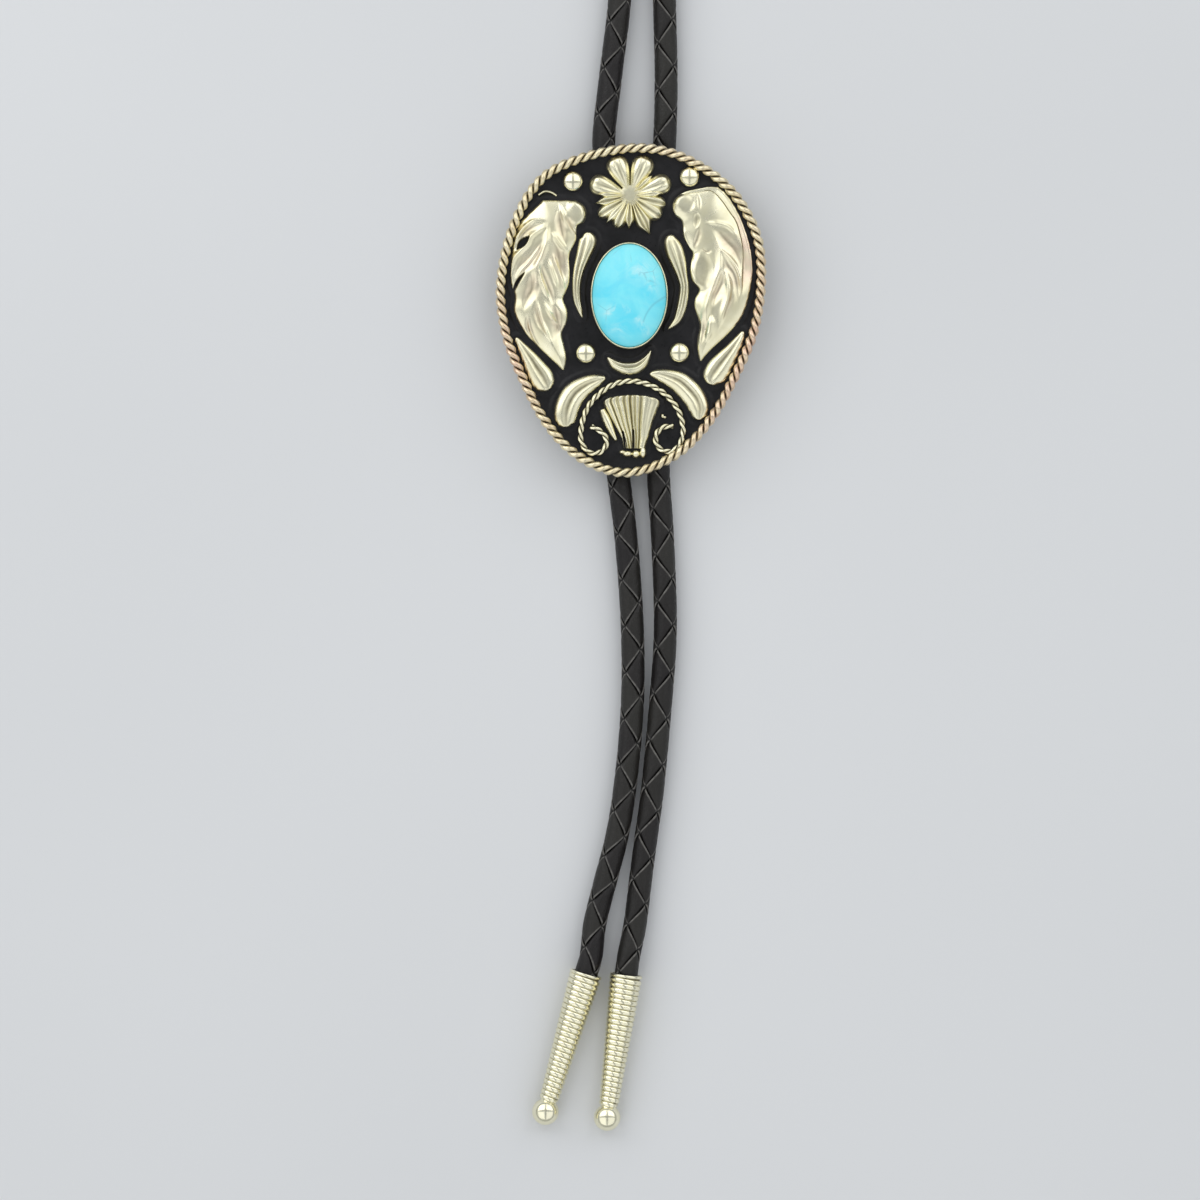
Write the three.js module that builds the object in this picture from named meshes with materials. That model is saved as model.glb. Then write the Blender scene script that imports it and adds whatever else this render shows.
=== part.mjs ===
// Bolo tie: a cast slide with a set stone on a braided leather cord with two wound tips.
// Millimetres. It lies face up: +Y is up the neck, +Z is towards the viewer, Z = 0 is the table.

import * as THREE from 'three';

// Driving dimensions

const slide = { width: 65, height: 80.3 };
const plate = { thickness: 1.4, setback: 0.6 };
const rimRope = { diameter: 2.5, turn: 5.0 };
const stone = { width: 17.4, length: 24.4, wallHeight: 1.8, dome: 3.4 };
const bezel = { wall: 0.4, height: 2.6, clearance: 0.2 };
const bead = { diameter: 4.9, height: 1.9 };
const leaf = { thickness: 1.8 };
const flower = { thickness: 1.7 };
const carving = { thickness: 1.7 };
const lasso = { diameter: 1.5, turn: 4.4 };
const stem = { width: 0.5, thickness: 0.6 };
const cord = { diameter: 5.6, steps: 66, floorGap: 0.05 };
const clip = { wall: 0.8, length: 26, spacing: 11.8, centre: 0.9, clearance: 0.3 };
const tip = { length: 38, mouth: 8, neck: 4.7, ball: 6.4, ribs: 26, ribDepth: 0.28, socket: 8 };
const seatGap = 0.3;

// Worked out from the above

const halfWidth = slide.width / 2;
const halfHeight = slide.height / 2;
const channelBore = cord.diameter / 2 + clip.clearance;
const channelOuter = channelBore + clip.wall;
const channelFacet = Math.PI / 18;
const channelZ = channelOuter * Math.cos(channelFacet);
const plateBottom = channelZ + channelOuter;
const plateTop = plateBottom + plate.thickness;
const cordRestZ = cord.diameter / 2 + cord.floorGap;

// Materials

const silver = new THREE.MeshStandardMaterial({ color: 0xd8d2a6, roughness: 0.3, metalness: 1 });
const ropeMetal = new THREE.MeshStandardMaterial({ color: 0xd2b896, roughness: 0.35, metalness: 1 });
const enamel = new THREE.MeshStandardMaterial({ color: 0x1a1a1c, roughness: 0.4, metalness: 0.1 });
const turquoise = new THREE.MeshStandardMaterial({ color: 0x6fe0f2, roughness: 0.3, metalness: 0 });
const leather = new THREE.MeshStandardMaterial({ color: 0x2f2d2e, roughness: 0.6, metalness: 0 });

const tie = new THREE.Group();

function addPiece(name, geometry, material) {
  const mesh = new THREE.Mesh(geometry, material);
  mesh.name = name;
  tie.add(mesh);
  return mesh;
}

// Turns every triangle over when a shaped solid came out with its faces inwards
function facingOut(geometry) {
  const position = geometry.attributes.position;
  const corners = geometry.index.array;
  const a = new THREE.Vector3();
  const b = new THREE.Vector3();
  const c = new THREE.Vector3();
  let volume = 0;
  for (let i = 0; i < corners.length; i += 3) {
    a.fromBufferAttribute(position, corners[i]);
    b.fromBufferAttribute(position, corners[i + 1]);
    c.fromBufferAttribute(position, corners[i + 2]);
    volume += a.dot(b.cross(c));
  }
  if (volume < 0) {
    for (let i = 0; i < corners.length; i += 3) {
      [corners[i + 1], corners[i + 2]] = [corners[i + 2], corners[i + 1]];
    }
  }
  geometry.computeVertexNormals();
  return geometry;
}

// Moves every corner of a ready-made shape to where place() puts it
function reshape(geometry, place) {
  const position = geometry.attributes.position;
  const corner = new THREE.Vector3();
  for (let i = 0; i < position.count; i += 1) {
    const moved = place(corner.fromBufferAttribute(position, i), i);
    position.setXYZ(i, moved.x, moved.y, moved.z);
  }
  return facingOut(geometry);
}

// Slide outline: shares of the half width and half height, anticlockwise from the right

const outlineRows = [
  { across: 1.0, along: 0.17 },
  { across: 0.969, along: 0.446 },
  { across: 0.8, along: 0.707 },
  { across: 0.514, along: 0.897 },
  { across: 0.154, along: 0.999 },
  { across: -0.292, along: 0.961 },
  { across: -0.686, along: 0.809 },
  { across: -0.902, along: 0.518 },
  { across: -1.0, along: 0.157 },
  { across: -0.963, along: -0.134 },
  { across: -0.831, along: -0.423 },
  { across: -0.634, along: -0.712 },
  { across: -0.382, along: -0.909 },
  { across: -0.025, along: -0.999 },
  { across: 0.351, along: -0.887 },
  { across: 0.603, along: -0.685 },
  { across: 0.782, along: -0.438 },
  { across: 0.942, along: -0.134 },
];

const outline = new THREE.CatmullRomCurve3(
  outlineRows.map((row) => new THREE.Vector3(row.across, row.along, 0)), true);
outline.arcLengthDivisions = 1000;
const outlineBox = new THREE.Box3().setFromPoints(outline.getPoints(720));
const outlineCentre = outlineBox.getCenter(new THREE.Vector3());
const outlineSize = outlineBox.getSize(new THREE.Vector3());

// Point on the slide's edge, moved inwards by inset
function edgePoint(turn, inset) {
  const at = outline.getPointAt(turn % 1);
  const towards = outline.getTangentAt(turn % 1);
  const x = (at.x - outlineCentre.x) / outlineSize.x * slide.width;
  const y = (at.y - outlineCentre.y) / outlineSize.y * slide.height;
  const outward = new THREE.Vector2(towards.y * slide.height, -towards.x * slide.width).normalize();
  return { x: x - outward.x * inset, y: y - outward.y * inset, outward };
}

// The field between the stone's setting and the rim. Ornament is drawn in shares of the slide,
// and shifts outwards or inwards when the setting is larger or smaller than the drawn one.

const drawnSetting = { across: -0.012, along: 0.087, halfAcross: 0.28, halfAlong: 0.319 };
const settingX = drawnSetting.across * halfWidth;
const settingY = drawnSetting.along * halfHeight;
const settingHalfX = stone.width / 2 + bezel.clearance + bezel.wall;
const settingHalfY = stone.length / 2 + bezel.clearance + bezel.wall;

function ovalRadius(angle, halfX, halfY) {
  return 1 / Math.hypot(Math.cos(angle) / halfX, Math.sin(angle) / halfY);
}

// Keeps a point at least margin inside the rope on the rim
const rimSamples = Array.from({ length: 180 }, (_, i) => edgePoint(i / 180, rimRope.diameter));

function clearOfRim(point, margin) {
  let nearest = rimSamples[0];
  let least = Infinity;
  rimSamples.forEach((sample) => {
    const distance = Math.hypot(sample.x - point.x, sample.y - point.y);
    if (distance < least) {
      least = distance;
      nearest = sample;
    }
  });
  const depth = nearest.outward.x * (nearest.x - point.x) + nearest.outward.y * (nearest.y - point.y);
  return point.addScaledVector(nearest.outward, Math.min(0, depth - margin));
}

function onField(across, along, margin = seatGap) {
  const x = across * halfWidth - settingX;
  const y = along * halfHeight - settingY;
  const angle = Math.atan2(y, x);
  const drawn = ovalRadius(angle, drawnSetting.halfAcross * halfWidth, drawnSetting.halfAlong * halfHeight);
  const built = ovalRadius(angle, settingHalfX, settingHalfY);
  const towardsRim = Math.min(1, Math.hypot(across, along));
  const shift = (built - drawn) * (1 - towardsRim);
  const reach = Math.hypot(x, y) + shift;
  const point = new THREE.Vector2(settingX + reach * Math.cos(angle), settingY + reach * Math.sin(angle));
  return clearOfRim(point, margin);
}

// Plate

function makePlate() {
  const steps = 64;
  const corners = [];
  for (let i = 0; i < steps; i += 1) {
    const at = edgePoint(i / steps, plate.setback);
    corners.push(new THREE.Vector2(at.x, at.y));
  }
  const solid = new THREE.ExtrudeGeometry(new THREE.Shape(corners), {
    depth: plate.thickness,
    bevelEnabled: false,
  });
  solid.translate(0, 0, plateBottom);
  return solid;
}

// Twisted ropes: a two-strand section with six corners that turns along its line

const ropeSides = 6;
const ropeStepsPerTurn = 5;

function strandReach(angle) {
  const bulge = Math.cos(angle) ** 2;
  return 0.66 + 0.34 * bulge;
}

function makeRimRope() {
  const radius = rimRope.diameter / 2;
  const edgeLength = outline.getLength() / outlineSize.y * slide.height;
  const turns = Math.round(edgeLength / rimRope.turn);
  const seat = 0.62 * radius;
  const ring = new THREE.TorusGeometry(2, 1, ropeSides, turns * ropeStepsPerTurn);
  const uv = ring.attributes.uv;
  return reshape(ring, (corner, i) => {
    const along = uv.getX(i) % 1;
    const angle = 2 * Math.PI * (uv.getY(i) % 1);
    const reach = radius * strandReach(angle - 2 * Math.PI * turns * along);
    const at = edgePoint(along, radius);
    const out = reach * Math.cos(angle);
    const up = Math.max(reach * Math.sin(angle), -seat);
    return { x: at.x + at.outward.x * out, y: at.y + at.outward.y * out, z: plateTop + seat + up };
  });
}

const lassoRows = [
  { across: -0.294, along: -0.692 },
  { across: -0.24, along: -0.714 },
  { across: -0.198, along: -0.744 },
  { across: -0.178, along: -0.783 },
  { across: -0.193, along: -0.822 },
  { across: -0.242, along: -0.852 },
  { across: -0.3, along: -0.85 },
  { across: -0.348, along: -0.815 },
  { across: -0.37, along: -0.765 },
  { across: -0.366, along: -0.705 },
  { across: -0.352, along: -0.649 },
  { across: -0.309, along: -0.568 },
  { across: -0.213, along: -0.484 },
  { across: -0.102, along: -0.435 },
  { across: 0.024, along: -0.423 },
  { across: 0.145, along: -0.448 },
  { across: 0.256, along: -0.504 },
  { across: 0.345, along: -0.592 },
  { across: 0.385, along: -0.699 },
  { across: 0.38, along: -0.753 },
  { across: 0.36, along: -0.798 },
  { across: 0.323, along: -0.831 },
  { across: 0.271, along: -0.843 },
  { across: 0.219, along: -0.829 },
  { across: 0.188, along: -0.795 },
  { across: 0.184, along: -0.753 },
  { across: 0.21, along: -0.714 },
  { across: 0.256, along: -0.694 },
  { across: 0.312, along: -0.692 },
];

function makeLasso() {
  const line = new THREE.CatmullRomCurve3(lassoRows.map((row) => {
    const at = onField(row.across, row.along, lasso.diameter / 2 + seatGap);
    return new THREE.Vector3(at.x, at.y, 0);
  }));
  const radius = lasso.diameter / 2;
  const turns = line.getLength() / lasso.turn;
  const seat = 0.62 * radius;
  const rod = new THREE.CylinderGeometry(1, 1, 1, ropeSides, Math.round(turns * ropeStepsPerTurn));
  return reshape(rod, (corner) => {
    const along = corner.y + 0.5;
    const angle = Math.atan2(corner.z, corner.x);
    const at = line.getPointAt(along);
    const towards = line.getTangentAt(along);
    const reach = Math.hypot(corner.x, corner.z) * radius * strandReach(angle + 2 * Math.PI * turns * along);
    const side = reach * Math.cos(angle);
    const up = Math.max(reach * Math.sin(angle), -seat);
    return { x: at.x + towards.y * side, y: at.y - towards.x * side, z: plateTop + seat + up };
  });
}

// Stone and its setting: two ovals with the same corners, so the gap between them is even

const ovalSteps = 36;

function ovalCorners(halfX, halfY) {
  const corners = [];
  for (let i = 0; i < ovalSteps; i += 1) {
    const angle = 2 * Math.PI * i / ovalSteps;
    corners.push(new THREE.Vector2(halfX * Math.cos(angle), halfY * Math.sin(angle)));
  }
  return corners;
}

function makeBezel() {
  const ring = new THREE.Shape(ovalCorners(settingHalfX, settingHalfY));
  ring.holes.push(new THREE.Path(ovalCorners(settingHalfX - bezel.wall, settingHalfY - bezel.wall)));
  const solid = new THREE.ExtrudeGeometry(ring, { depth: bezel.height, bevelEnabled: false });
  solid.translate(settingX, settingY, plateTop);
  return solid;
}

const domeRows = [
  { reach: 1.0, rise: 0 },
  { reach: 0.97, rise: 0.22 },
  { reach: 0.86, rise: 0.52 },
  { reach: 0.66, rise: 0.77 },
  { reach: 0.38, rise: 0.93 },
  { reach: 0, rise: 1.0 },
];

function domeProfile(wallHeight, dome) {
  const profile = [new THREE.Vector2(0, 0), new THREE.Vector2(1, 0)];
  domeRows.forEach((row) => profile.push(new THREE.Vector2(row.reach, wallHeight + dome * row.rise)));
  return profile;
}

function makeStone() {
  const solid = new THREE.LatheGeometry(domeProfile(stone.wallHeight, stone.dome), ovalSteps);
  solid.rotateX(Math.PI / 2);
  solid.scale(stone.width / 2, stone.length / 2, 1);
  solid.translate(settingX, settingY, plateTop);
  return facingOut(solid);
}

// Beads

const beadRows = [
  { across: -0.428, along: 0.77 },
  { across: 0.433, along: 0.797 },
  { across: -0.332, along: -0.256 },
  { across: 0.357, along: -0.252 },
];

function makeBead(row) {
  const at = onField(row.across, row.along);
  const solid = new THREE.LatheGeometry(domeProfile(bead.height * 0.15, bead.height * 0.85), 10);
  solid.rotateX(Math.PI / 2);
  solid.scale(bead.diameter / 2, bead.diameter / 2, 1);
  solid.translate(at.x, at.y, plateTop);
  return facingOut(solid);
}

// Flower: petals by the way they point, in degrees, and their reach as a share of the half height

const flowerPlace = { across: -0.006, along: 0.685, reach: 0.243, valley: 0.45 };
const petals = [
  { towards: 20, reach: 1.04 },
  { towards: 67, reach: 1.0 },
  { towards: 113, reach: 0.97 },
  { towards: 161, reach: 1.0 },
  { towards: 188, reach: 0.84 },
  { towards: 215, reach: 0.94 },
  { towards: 242, reach: 0.83 },
  { towards: 266, reach: 0.78 },
  { towards: 296, reach: 1.02 },
  { towards: 325, reach: 0.87 },
  { towards: 348, reach: 0.88 },
];
const petalShape = [
  { reach: 0, rise: 0.35 },
  { reach: 0.93, rise: 0.8 },
  { reach: 1.0, rise: 1.0 },
  { reach: 0.93, rise: 0.75 },
];

function petalAt(step) {
  const count = petals.length;
  const index = Math.floor(step / petalShape.length) % count;
  const part = step % petalShape.length;
  const own = petals[index].towards;
  const before = petals[(index + count - 1) % count].towards - (index === 0 ? 360 : 0);
  const after = petals[(index + 1) % count].towards + (index === count - 1 ? 360 : 0);
  const from = (before + own) / 2;
  const to = (own + after) / 2;
  const angle = THREE.MathUtils.degToRad(from + (to - from) * part / petalShape.length);
  const reach = part === 0 ? flowerPlace.valley : petals[index].reach * petalShape[part].reach;
  return { angle, reach, rise: petalShape[part].rise };
}

function makeFlower() {
  const steps = petals.length * petalShape.length;
  const profile = [[0, 0], [1, 0], [1, 0.6], [0.55, 1.0], [0.16, 0.62], [0, 0.66]];
  const solid = new THREE.LatheGeometry(profile.map(([reach, rise]) => new THREE.Vector2(reach, rise)), steps);
  const centre = onField(flowerPlace.across, flowerPlace.along);
  return reshape(solid, (corner) => {
    const turn = (Math.atan2(corner.z, corner.x) / (2 * Math.PI) + 1) % 1;
    const petal = petalAt(Math.round(turn * steps) % steps);
    const share = Math.hypot(corner.x, corner.z);
    const reach = share * petal.reach * flowerPlace.reach * halfHeight;
    const rise = share > 0.5 ? corner.y * petal.rise : corner.y;
    return {
      x: centre.x + reach * Math.cos(petal.angle),
      y: centre.y + reach * Math.sin(petal.angle),
      z: plateTop + rise * flower.thickness,
    };
  });
}

// Mouldings: a flat-backed strip with a row for each section and a raised, grooved face

function moulding(rows, columns, thickness, relief) {
  const last = rows.length - 1;
  const block = new THREE.BoxGeometry(1, 1, 1, columns, last, 1);
  return reshape(block, (corner) => {
    const across = corner.x + 0.5;
    const section = Math.round((corner.y + 0.5) * last);
    const row = rows[section];
    const at = row.left.clone().lerp(row.right, across);
    const rise = corner.z > 0 ? thickness * relief(across, section / last) : 0;
    return { x: at.x, y: at.y, z: plateTop + rise };
  });
}

// Sections square to a line; each row's width is a share of the slide's half width
function ribbonRows(rows, widest, count) {
  const line = new THREE.CatmullRomCurve3(rows.map((row) => {
    const at = onField(row.across, row.along);
    return new THREE.Vector3(at.x, at.y, row.wide * widest * halfWidth);
  }));
  const sections = [];
  for (let i = 0; i < count; i += 1) {
    const share = i / (count - 1);
    const at = line.getPoint(share);
    const towards = line.getTangent(share);
    const side = new THREE.Vector2(-towards.y, towards.x).normalize().multiplyScalar(at.z / 2);
    const middle = new THREE.Vector2(at.x, at.y);
    sections.push({ left: middle.clone().add(side), right: middle.clone().sub(side) });
  }
  return sections;
}

const grooveProfile = [0.4, 0.95, 0.72, 1.0, 0.4];

function grooved(across, along) {
  const ends = Math.min(1, 0.5 + 4 * Math.min(along, 1 - along));
  return ends * grooveProfile[Math.round(across * (grooveProfile.length - 1))];
}

const carvings = [
  {
    name: 'horn_left',
    widest: 0.126,
    rows: [
      { across: -0.323, along: 0.469, wide: 0.35 },
      { across: -0.316, along: 0.418, wide: 1.0 },
      { across: -0.35, along: 0.329, wide: 0.86 },
      { across: -0.382, along: 0.245, wide: 0.66 },
      { across: -0.4, along: 0.155, wide: 0.52 },
      { across: -0.397, along: 0.066, wide: 0.46 },
      { across: -0.375, along: 0, wide: 0.32 },
      { across: -0.357, along: -0.048, wide: 0.1 },
    ],
  },
  {
    name: 'horn_right',
    widest: 0.14,
    rows: [
      { across: 0.293, along: 0.454, wide: 0.3 },
      { across: 0.297, along: 0.412, wide: 0.75 },
      { across: 0.323, along: 0.353, wide: 0.94 },
      { across: 0.352, along: 0.281, wide: 0.82 },
      { across: 0.376, along: 0.209, wide: 0.6 },
      { across: 0.393, along: 0.137, wide: 0.52 },
      { across: 0.385, along: 0.066, wide: 0.54 },
      { across: 0.367, along: 0, wide: 0.52 },
      { across: 0.337, along: -0.06, wide: 0.4 },
      { across: 0.271, along: -0.114, wide: 0.1 },
    ],
  },
  {
    name: 'crescent',
    widest: 0.096,
    rows: [
      { across: -0.176, along: -0.278, wide: 0.2 },
      { across: -0.124, along: -0.32, wide: 0.7 },
      { across: -0.072, along: -0.341, wide: 0.87 },
      { across: -0.017, along: -0.348, wide: 1.0 },
      { across: 0.042, along: -0.341, wide: 0.95 },
      { across: 0.09, along: -0.314, wide: 0.75 },
      { across: 0.127, along: -0.275, wide: 0.42 },
      { across: 0.149, along: -0.236, wide: 0.12 },
    ],
  },
  {
    name: 'teardrop_left',
    widest: 0.178,
    rows: [
      { across: -0.851, along: -0.161, wide: 0.17 },
      { across: -0.803, along: -0.221, wide: 0.42 },
      { across: -0.748, along: -0.287, wide: 0.67 },
      { across: -0.7, along: -0.35, wide: 0.88 },
      { across: -0.659, along: -0.403, wide: 1.0 },
      { across: -0.63, along: -0.448, wide: 0.84 },
      { across: -0.611, along: -0.478, wide: 0.3 },
    ],
  },
  {
    name: 'teardrop_right',
    widest: 0.178,
    rows: [
      { across: 0.832, along: -0.123, wide: 0.17 },
      { across: 0.799, along: -0.176, wide: 0.42 },
      { across: 0.751, along: -0.236, wide: 0.62 },
      { across: 0.699, along: -0.293, wide: 0.83 },
      { across: 0.648, along: -0.35, wide: 1.0 },
      { across: 0.607, along: -0.401, wide: 0.92 },
      { across: 0.585, along: -0.445, wide: 0.33 },
    ],
  },
  {
    name: 'bean_left',
    widest: 0.178,
    rows: [
      { across: -0.183, along: -0.401, wide: 0.14 },
      { across: -0.25, along: -0.418, wide: 0.53 },
      { across: -0.327, along: -0.445, wide: 0.76 },
      { across: -0.412, along: -0.496, wide: 0.96 },
      { across: -0.46, along: -0.559, wide: 1.0 },
      { across: -0.48, along: -0.622, wide: 0.96 },
      { across: -0.482, along: -0.669, wide: 0.8 },
      { across: -0.479, along: -0.699, wide: 0.3 },
    ],
  },
  {
    name: 'bean_right',
    widest: 0.166,
    rows: [
      { across: 0.134, along: -0.38, wide: 0.13 },
      { across: 0.19, along: -0.383, wide: 0.46 },
      { across: 0.275, along: -0.401, wide: 0.74 },
      { across: 0.356, along: -0.43, wide: 0.93 },
      { across: 0.426, along: -0.481, wide: 1.0 },
      { across: 0.478, along: -0.538, wide: 0.98 },
      { across: 0.5, along: -0.592, wide: 0.9 },
      { across: 0.498, along: -0.634, wide: 0.62 },
      { across: 0.495, along: -0.656, wide: 0.22 },
    ],
  },
];

const stemRows = [
  { across: -0.685, along: 0.687, wide: 1.0 },
  { across: -0.634, along: 0.71, wide: 1.0 },
  { across: -0.582, along: 0.702, wide: 1.0 },
  { across: -0.545, along: 0.682, wide: 1.0 },
];

const bladeRows = [
  { across: -0.215, along: -0.588, wide: 0.7 },
  { across: -0.181, along: -0.65, wide: 1.0 },
  { across: -0.145, along: -0.716, wide: 0.8 },
  { across: -0.108, along: -0.778, wide: 0.4 },
];
const bladeWidth = 0.042;

// Leaves: sections from the top down, both edges as shares of the half width

const leafLeftRows = [
  { along: 0.658, left: -0.648, right: -0.405 },
  { along: 0.622, left: -0.696, right: -0.342 },
  { along: 0.568, left: -0.767, right: -0.327 },
  { along: 0.526, left: -0.815, right: -0.346 },
  { along: 0.496, left: -0.833, right: -0.396 },
  { along: 0.424, left: -0.864, right: -0.402 },
  { along: 0.329, left: -0.882, right: -0.452 },
  { along: 0.233, left: -0.891, right: -0.45 },
  { along: 0.161, left: -0.886, right: -0.455 },
  { along: 0.108, left: -0.861, right: -0.479 },
  { along: 0.072, left: -0.855, right: -0.498 },
  { along: 0, left: -0.863, right: -0.469 },
  { along: -0.066, left: -0.833, right: -0.47 },
  { along: -0.132, left: -0.781, right: -0.507 },
  { along: -0.209, left: -0.696, right: -0.49 },
  { along: -0.281, left: -0.604, right: -0.475 },
  { along: -0.338, left: -0.527, right: -0.49 },
];

const leafRightRows = [
  { along: 0.738, left: 0.57, right: 0.64 },
  { along: 0.705, left: 0.393, right: 0.692 },
  { along: 0.664, left: 0.323, right: 0.733 },
  { along: 0.616, left: 0.306, right: 0.769 },
  { along: 0.568, left: 0.326, right: 0.801 },
  { along: 0.532, left: 0.374, right: 0.82 },
  { along: 0.448, left: 0.387, right: 0.857 },
  { along: 0.377, left: 0.428, right: 0.88 },
  { along: 0.341, left: 0.456, right: 0.888 },
  { along: 0.287, left: 0.442, right: 0.895 },
  { along: 0.233, left: 0.436, right: 0.898 },
  { along: 0.173, left: 0.452, right: 0.891 },
  { along: 0.123, left: 0.502, right: 0.882 },
  { along: 0.072, left: 0.472, right: 0.869 },
  { along: 0.024, left: 0.467, right: 0.852 },
  { along: -0.042, left: 0.491, right: 0.817 },
  { along: -0.102, left: 0.506, right: 0.762 },
  { along: -0.167, left: 0.49, right: 0.685 },
  { along: -0.233, left: 0.489, right: 0.596 },
  { along: -0.29, left: 0.504, right: 0.533 },
];

const leafProfile = [0.4, 0.85, 1.0, 0.7, 1.0, 0.85, 0.4];

function edgeSections(rows) {
  return rows.map((row) => ({
    left: onField(row.left, row.along),
    right: onField(row.right, row.along),
  }));
}

function veined(across, along) {
  const ripple = 1 + 0.08 * Math.sin(6 * Math.PI * along + 5 * Math.abs(across - 0.5));
  const ends = Math.min(1, 0.6 + 5 * Math.min(along, 1 - along));
  return ends * ripple * leafProfile[Math.round(across * (leafProfile.length - 1))] / 1.08;
}

// Fan: a sheaf that spreads upwards from its knot

const fanRows = [
  { along: -0.879, left: -0.065, right: 0.105 },
  { along: -0.855, left: -0.083, right: 0.116 },
  { along: -0.825, left: -0.05, right: 0.108 },
  { along: -0.759, left: -0.072, right: 0.131 },
  { along: -0.675, left: -0.117, right: 0.16 },
  { along: -0.592, left: -0.165, right: 0.197 },
  { along: -0.548, left: -0.191, right: 0.219 },
  { along: -0.519, left: -0.14, right: 0.165 },
];
const fanColumns = 10;

function fluted(across, along) {
  const flute = Math.round(across * fanColumns) % 2 === 0 ? 0.55 : 1.0;
  return along < 0.2 ? 0.5 + 0.3 * flute : flute;
}

// Clip: a strip on the plate's back whose two long edges roll round the cord's strands

function makeClip() {
  const leftX = clip.centre - clip.spacing / 2;
  const rightX = clip.centre + clip.spacing / 2;
  const facets = 12;
  const outer = [];
  const inner = [];
  function pointOn(x, radius, angle) {
    return new THREE.Vector2(x + radius * Math.cos(angle), channelZ + radius * Math.sin(angle));
  }
  for (let i = facets - 1; i >= 0; i -= 1) {
    const angle = Math.PI / 2 + channelFacet + 2 * channelFacet * i;
    outer.push(pointOn(leftX, channelOuter, angle));
    inner.push(pointOn(leftX, channelBore, angle));
  }
  outer.push(pointOn(leftX, channelOuter, Math.PI / 2), pointOn(rightX, channelOuter, Math.PI / 2));
  inner.push(pointOn(leftX, channelBore, Math.PI / 2), pointOn(rightX, channelBore, Math.PI / 2));
  for (let i = 0; i < facets; i += 1) {
    const angle = Math.PI / 2 - channelFacet - 2 * channelFacet * i;
    outer.push(pointOn(rightX, channelOuter, angle));
    inner.push(pointOn(rightX, channelBore, angle));
  }
  const section = new THREE.Shape(outer.concat(inner.reverse()));
  const solid = new THREE.ExtrudeGeometry(section, { depth: clip.length, bevelEnabled: false });
  solid.rotateX(Math.PI / 2);
  solid.translate(0, clip.length / 2, 0);
  return solid;
}

// Tips: where each one's mouth lies and which way it points, in degrees from +X

const tips = [
  { name: 'tip_left', mouthX: -10.7, mouthY: -159.0, heading: 73.6 },
  { name: 'tip_right', mouthX: -1.1, mouthY: -159.3, heading: 82.4 },
];
const tipSides = 8;
const facetInset = Math.cos(Math.PI / tipSides);

function tipAxis(row) {
  const heading = THREE.MathUtils.degToRad(row.heading);
  const run = tip.length - tip.ball / 2;
  const mouth = new THREE.Vector3(row.mouthX, row.mouthY, tip.mouth / 2);
  const ball = new THREE.Vector3(
    row.mouthX - run * Math.cos(heading), row.mouthY - run * Math.sin(heading), tip.ball / 2);
  return { mouth, towards: mouth.clone().sub(ball).normalize() };
}

function makeTip() {
  const ballRadius = tip.ball / 2;
  const ballY = ballRadius - tip.length;
  const socketRadius = (cord.diameter / 2 + clip.clearance) / facetInset;
  const profile = [];
  const ballSteps = 5;
  const neckAngle = Math.asin(0.92 * tip.neck / tip.ball);
  for (let i = 0; i <= ballSteps; i += 1) {
    const angle = (Math.PI - neckAngle) * i / ballSteps;
    profile.push(new THREE.Vector2(ballRadius * Math.sin(angle), ballY - ballRadius * Math.cos(angle)));
  }
  profile[0].x = 0;
  const woundStart = profile[ballSteps].y + tip.ribDepth;
  for (let i = 0; i < tip.ribs; i += 1) {
    const low = i / tip.ribs;
    const middle = (i + 0.5) / tip.ribs;
    const radiusAt = (share) => THREE.MathUtils.lerp(tip.neck, tip.mouth, share) / 2;
    profile.push(new THREE.Vector2(radiusAt(low) - tip.ribDepth, woundStart * (1 - low)));
    profile.push(new THREE.Vector2(radiusAt(middle), woundStart * (1 - middle)));
  }
  profile.push(new THREE.Vector2(tip.mouth / 2, 0));
  profile.push(new THREE.Vector2(socketRadius, 0));
  profile.push(new THREE.Vector2(socketRadius, -tip.socket));
  profile.push(new THREE.Vector2(0, -tip.socket));
  return facingOut(new THREE.LatheGeometry(profile, tipSides));
}

// Cord: its route from the left tip, through the clip, round the neck and back to the right tip.
// Each point's lift is its height above where the cord lies on the table.

const leftRun = [
  { x: -8.7, y: -147.5, lift: 0.3 },
  { x: -5.9, y: -136.2, lift: 0 },
  { x: -3.5, y: -127, lift: 0 },
  { x: -1.6, y: -116, lift: 0 },
  { x: 0.3, y: -96, lift: 0 },
  { x: 0.4, y: -77, lift: 0 },
  { x: -1.2, y: -54, lift: 0.1 },
  { x: -3.2, y: -38, lift: 0.4 },
];
const neckLoop = [
  { x: -6.5, y: 40, lift: 0.4 },
  { x: -4.9, y: 56, lift: 0 },
  { x: -2.7, y: 74.6, lift: 0 },
  { x: -2.2, y: 92, lift: 0 },
  { x: -5.2, y: 116, lift: 0 },
  { x: -14.5, y: 144, lift: 0 },
  { x: -24.8, y: 172, lift: 0 },
  { x: -27.8, y: 200, lift: 0 },
  { x: -18.5, y: 227.5, lift: 0 },
  { x: 1, y: 235.6, lift: 0 },
  { x: 20.5, y: 227.5, lift: 0 },
  { x: 29.8, y: 200, lift: 0 },
  { x: 26.8, y: 172, lift: 0 },
  { x: 17.5, y: 144, lift: 0 },
  { x: 9.8, y: 116, lift: 0 },
  { x: 8, y: 92, lift: 0 },
  { x: 8.1, y: 74.6, lift: 0 },
  { x: 8.5, y: 56, lift: 0 },
  { x: 8.1, y: 40, lift: 0.4 },
];
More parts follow.
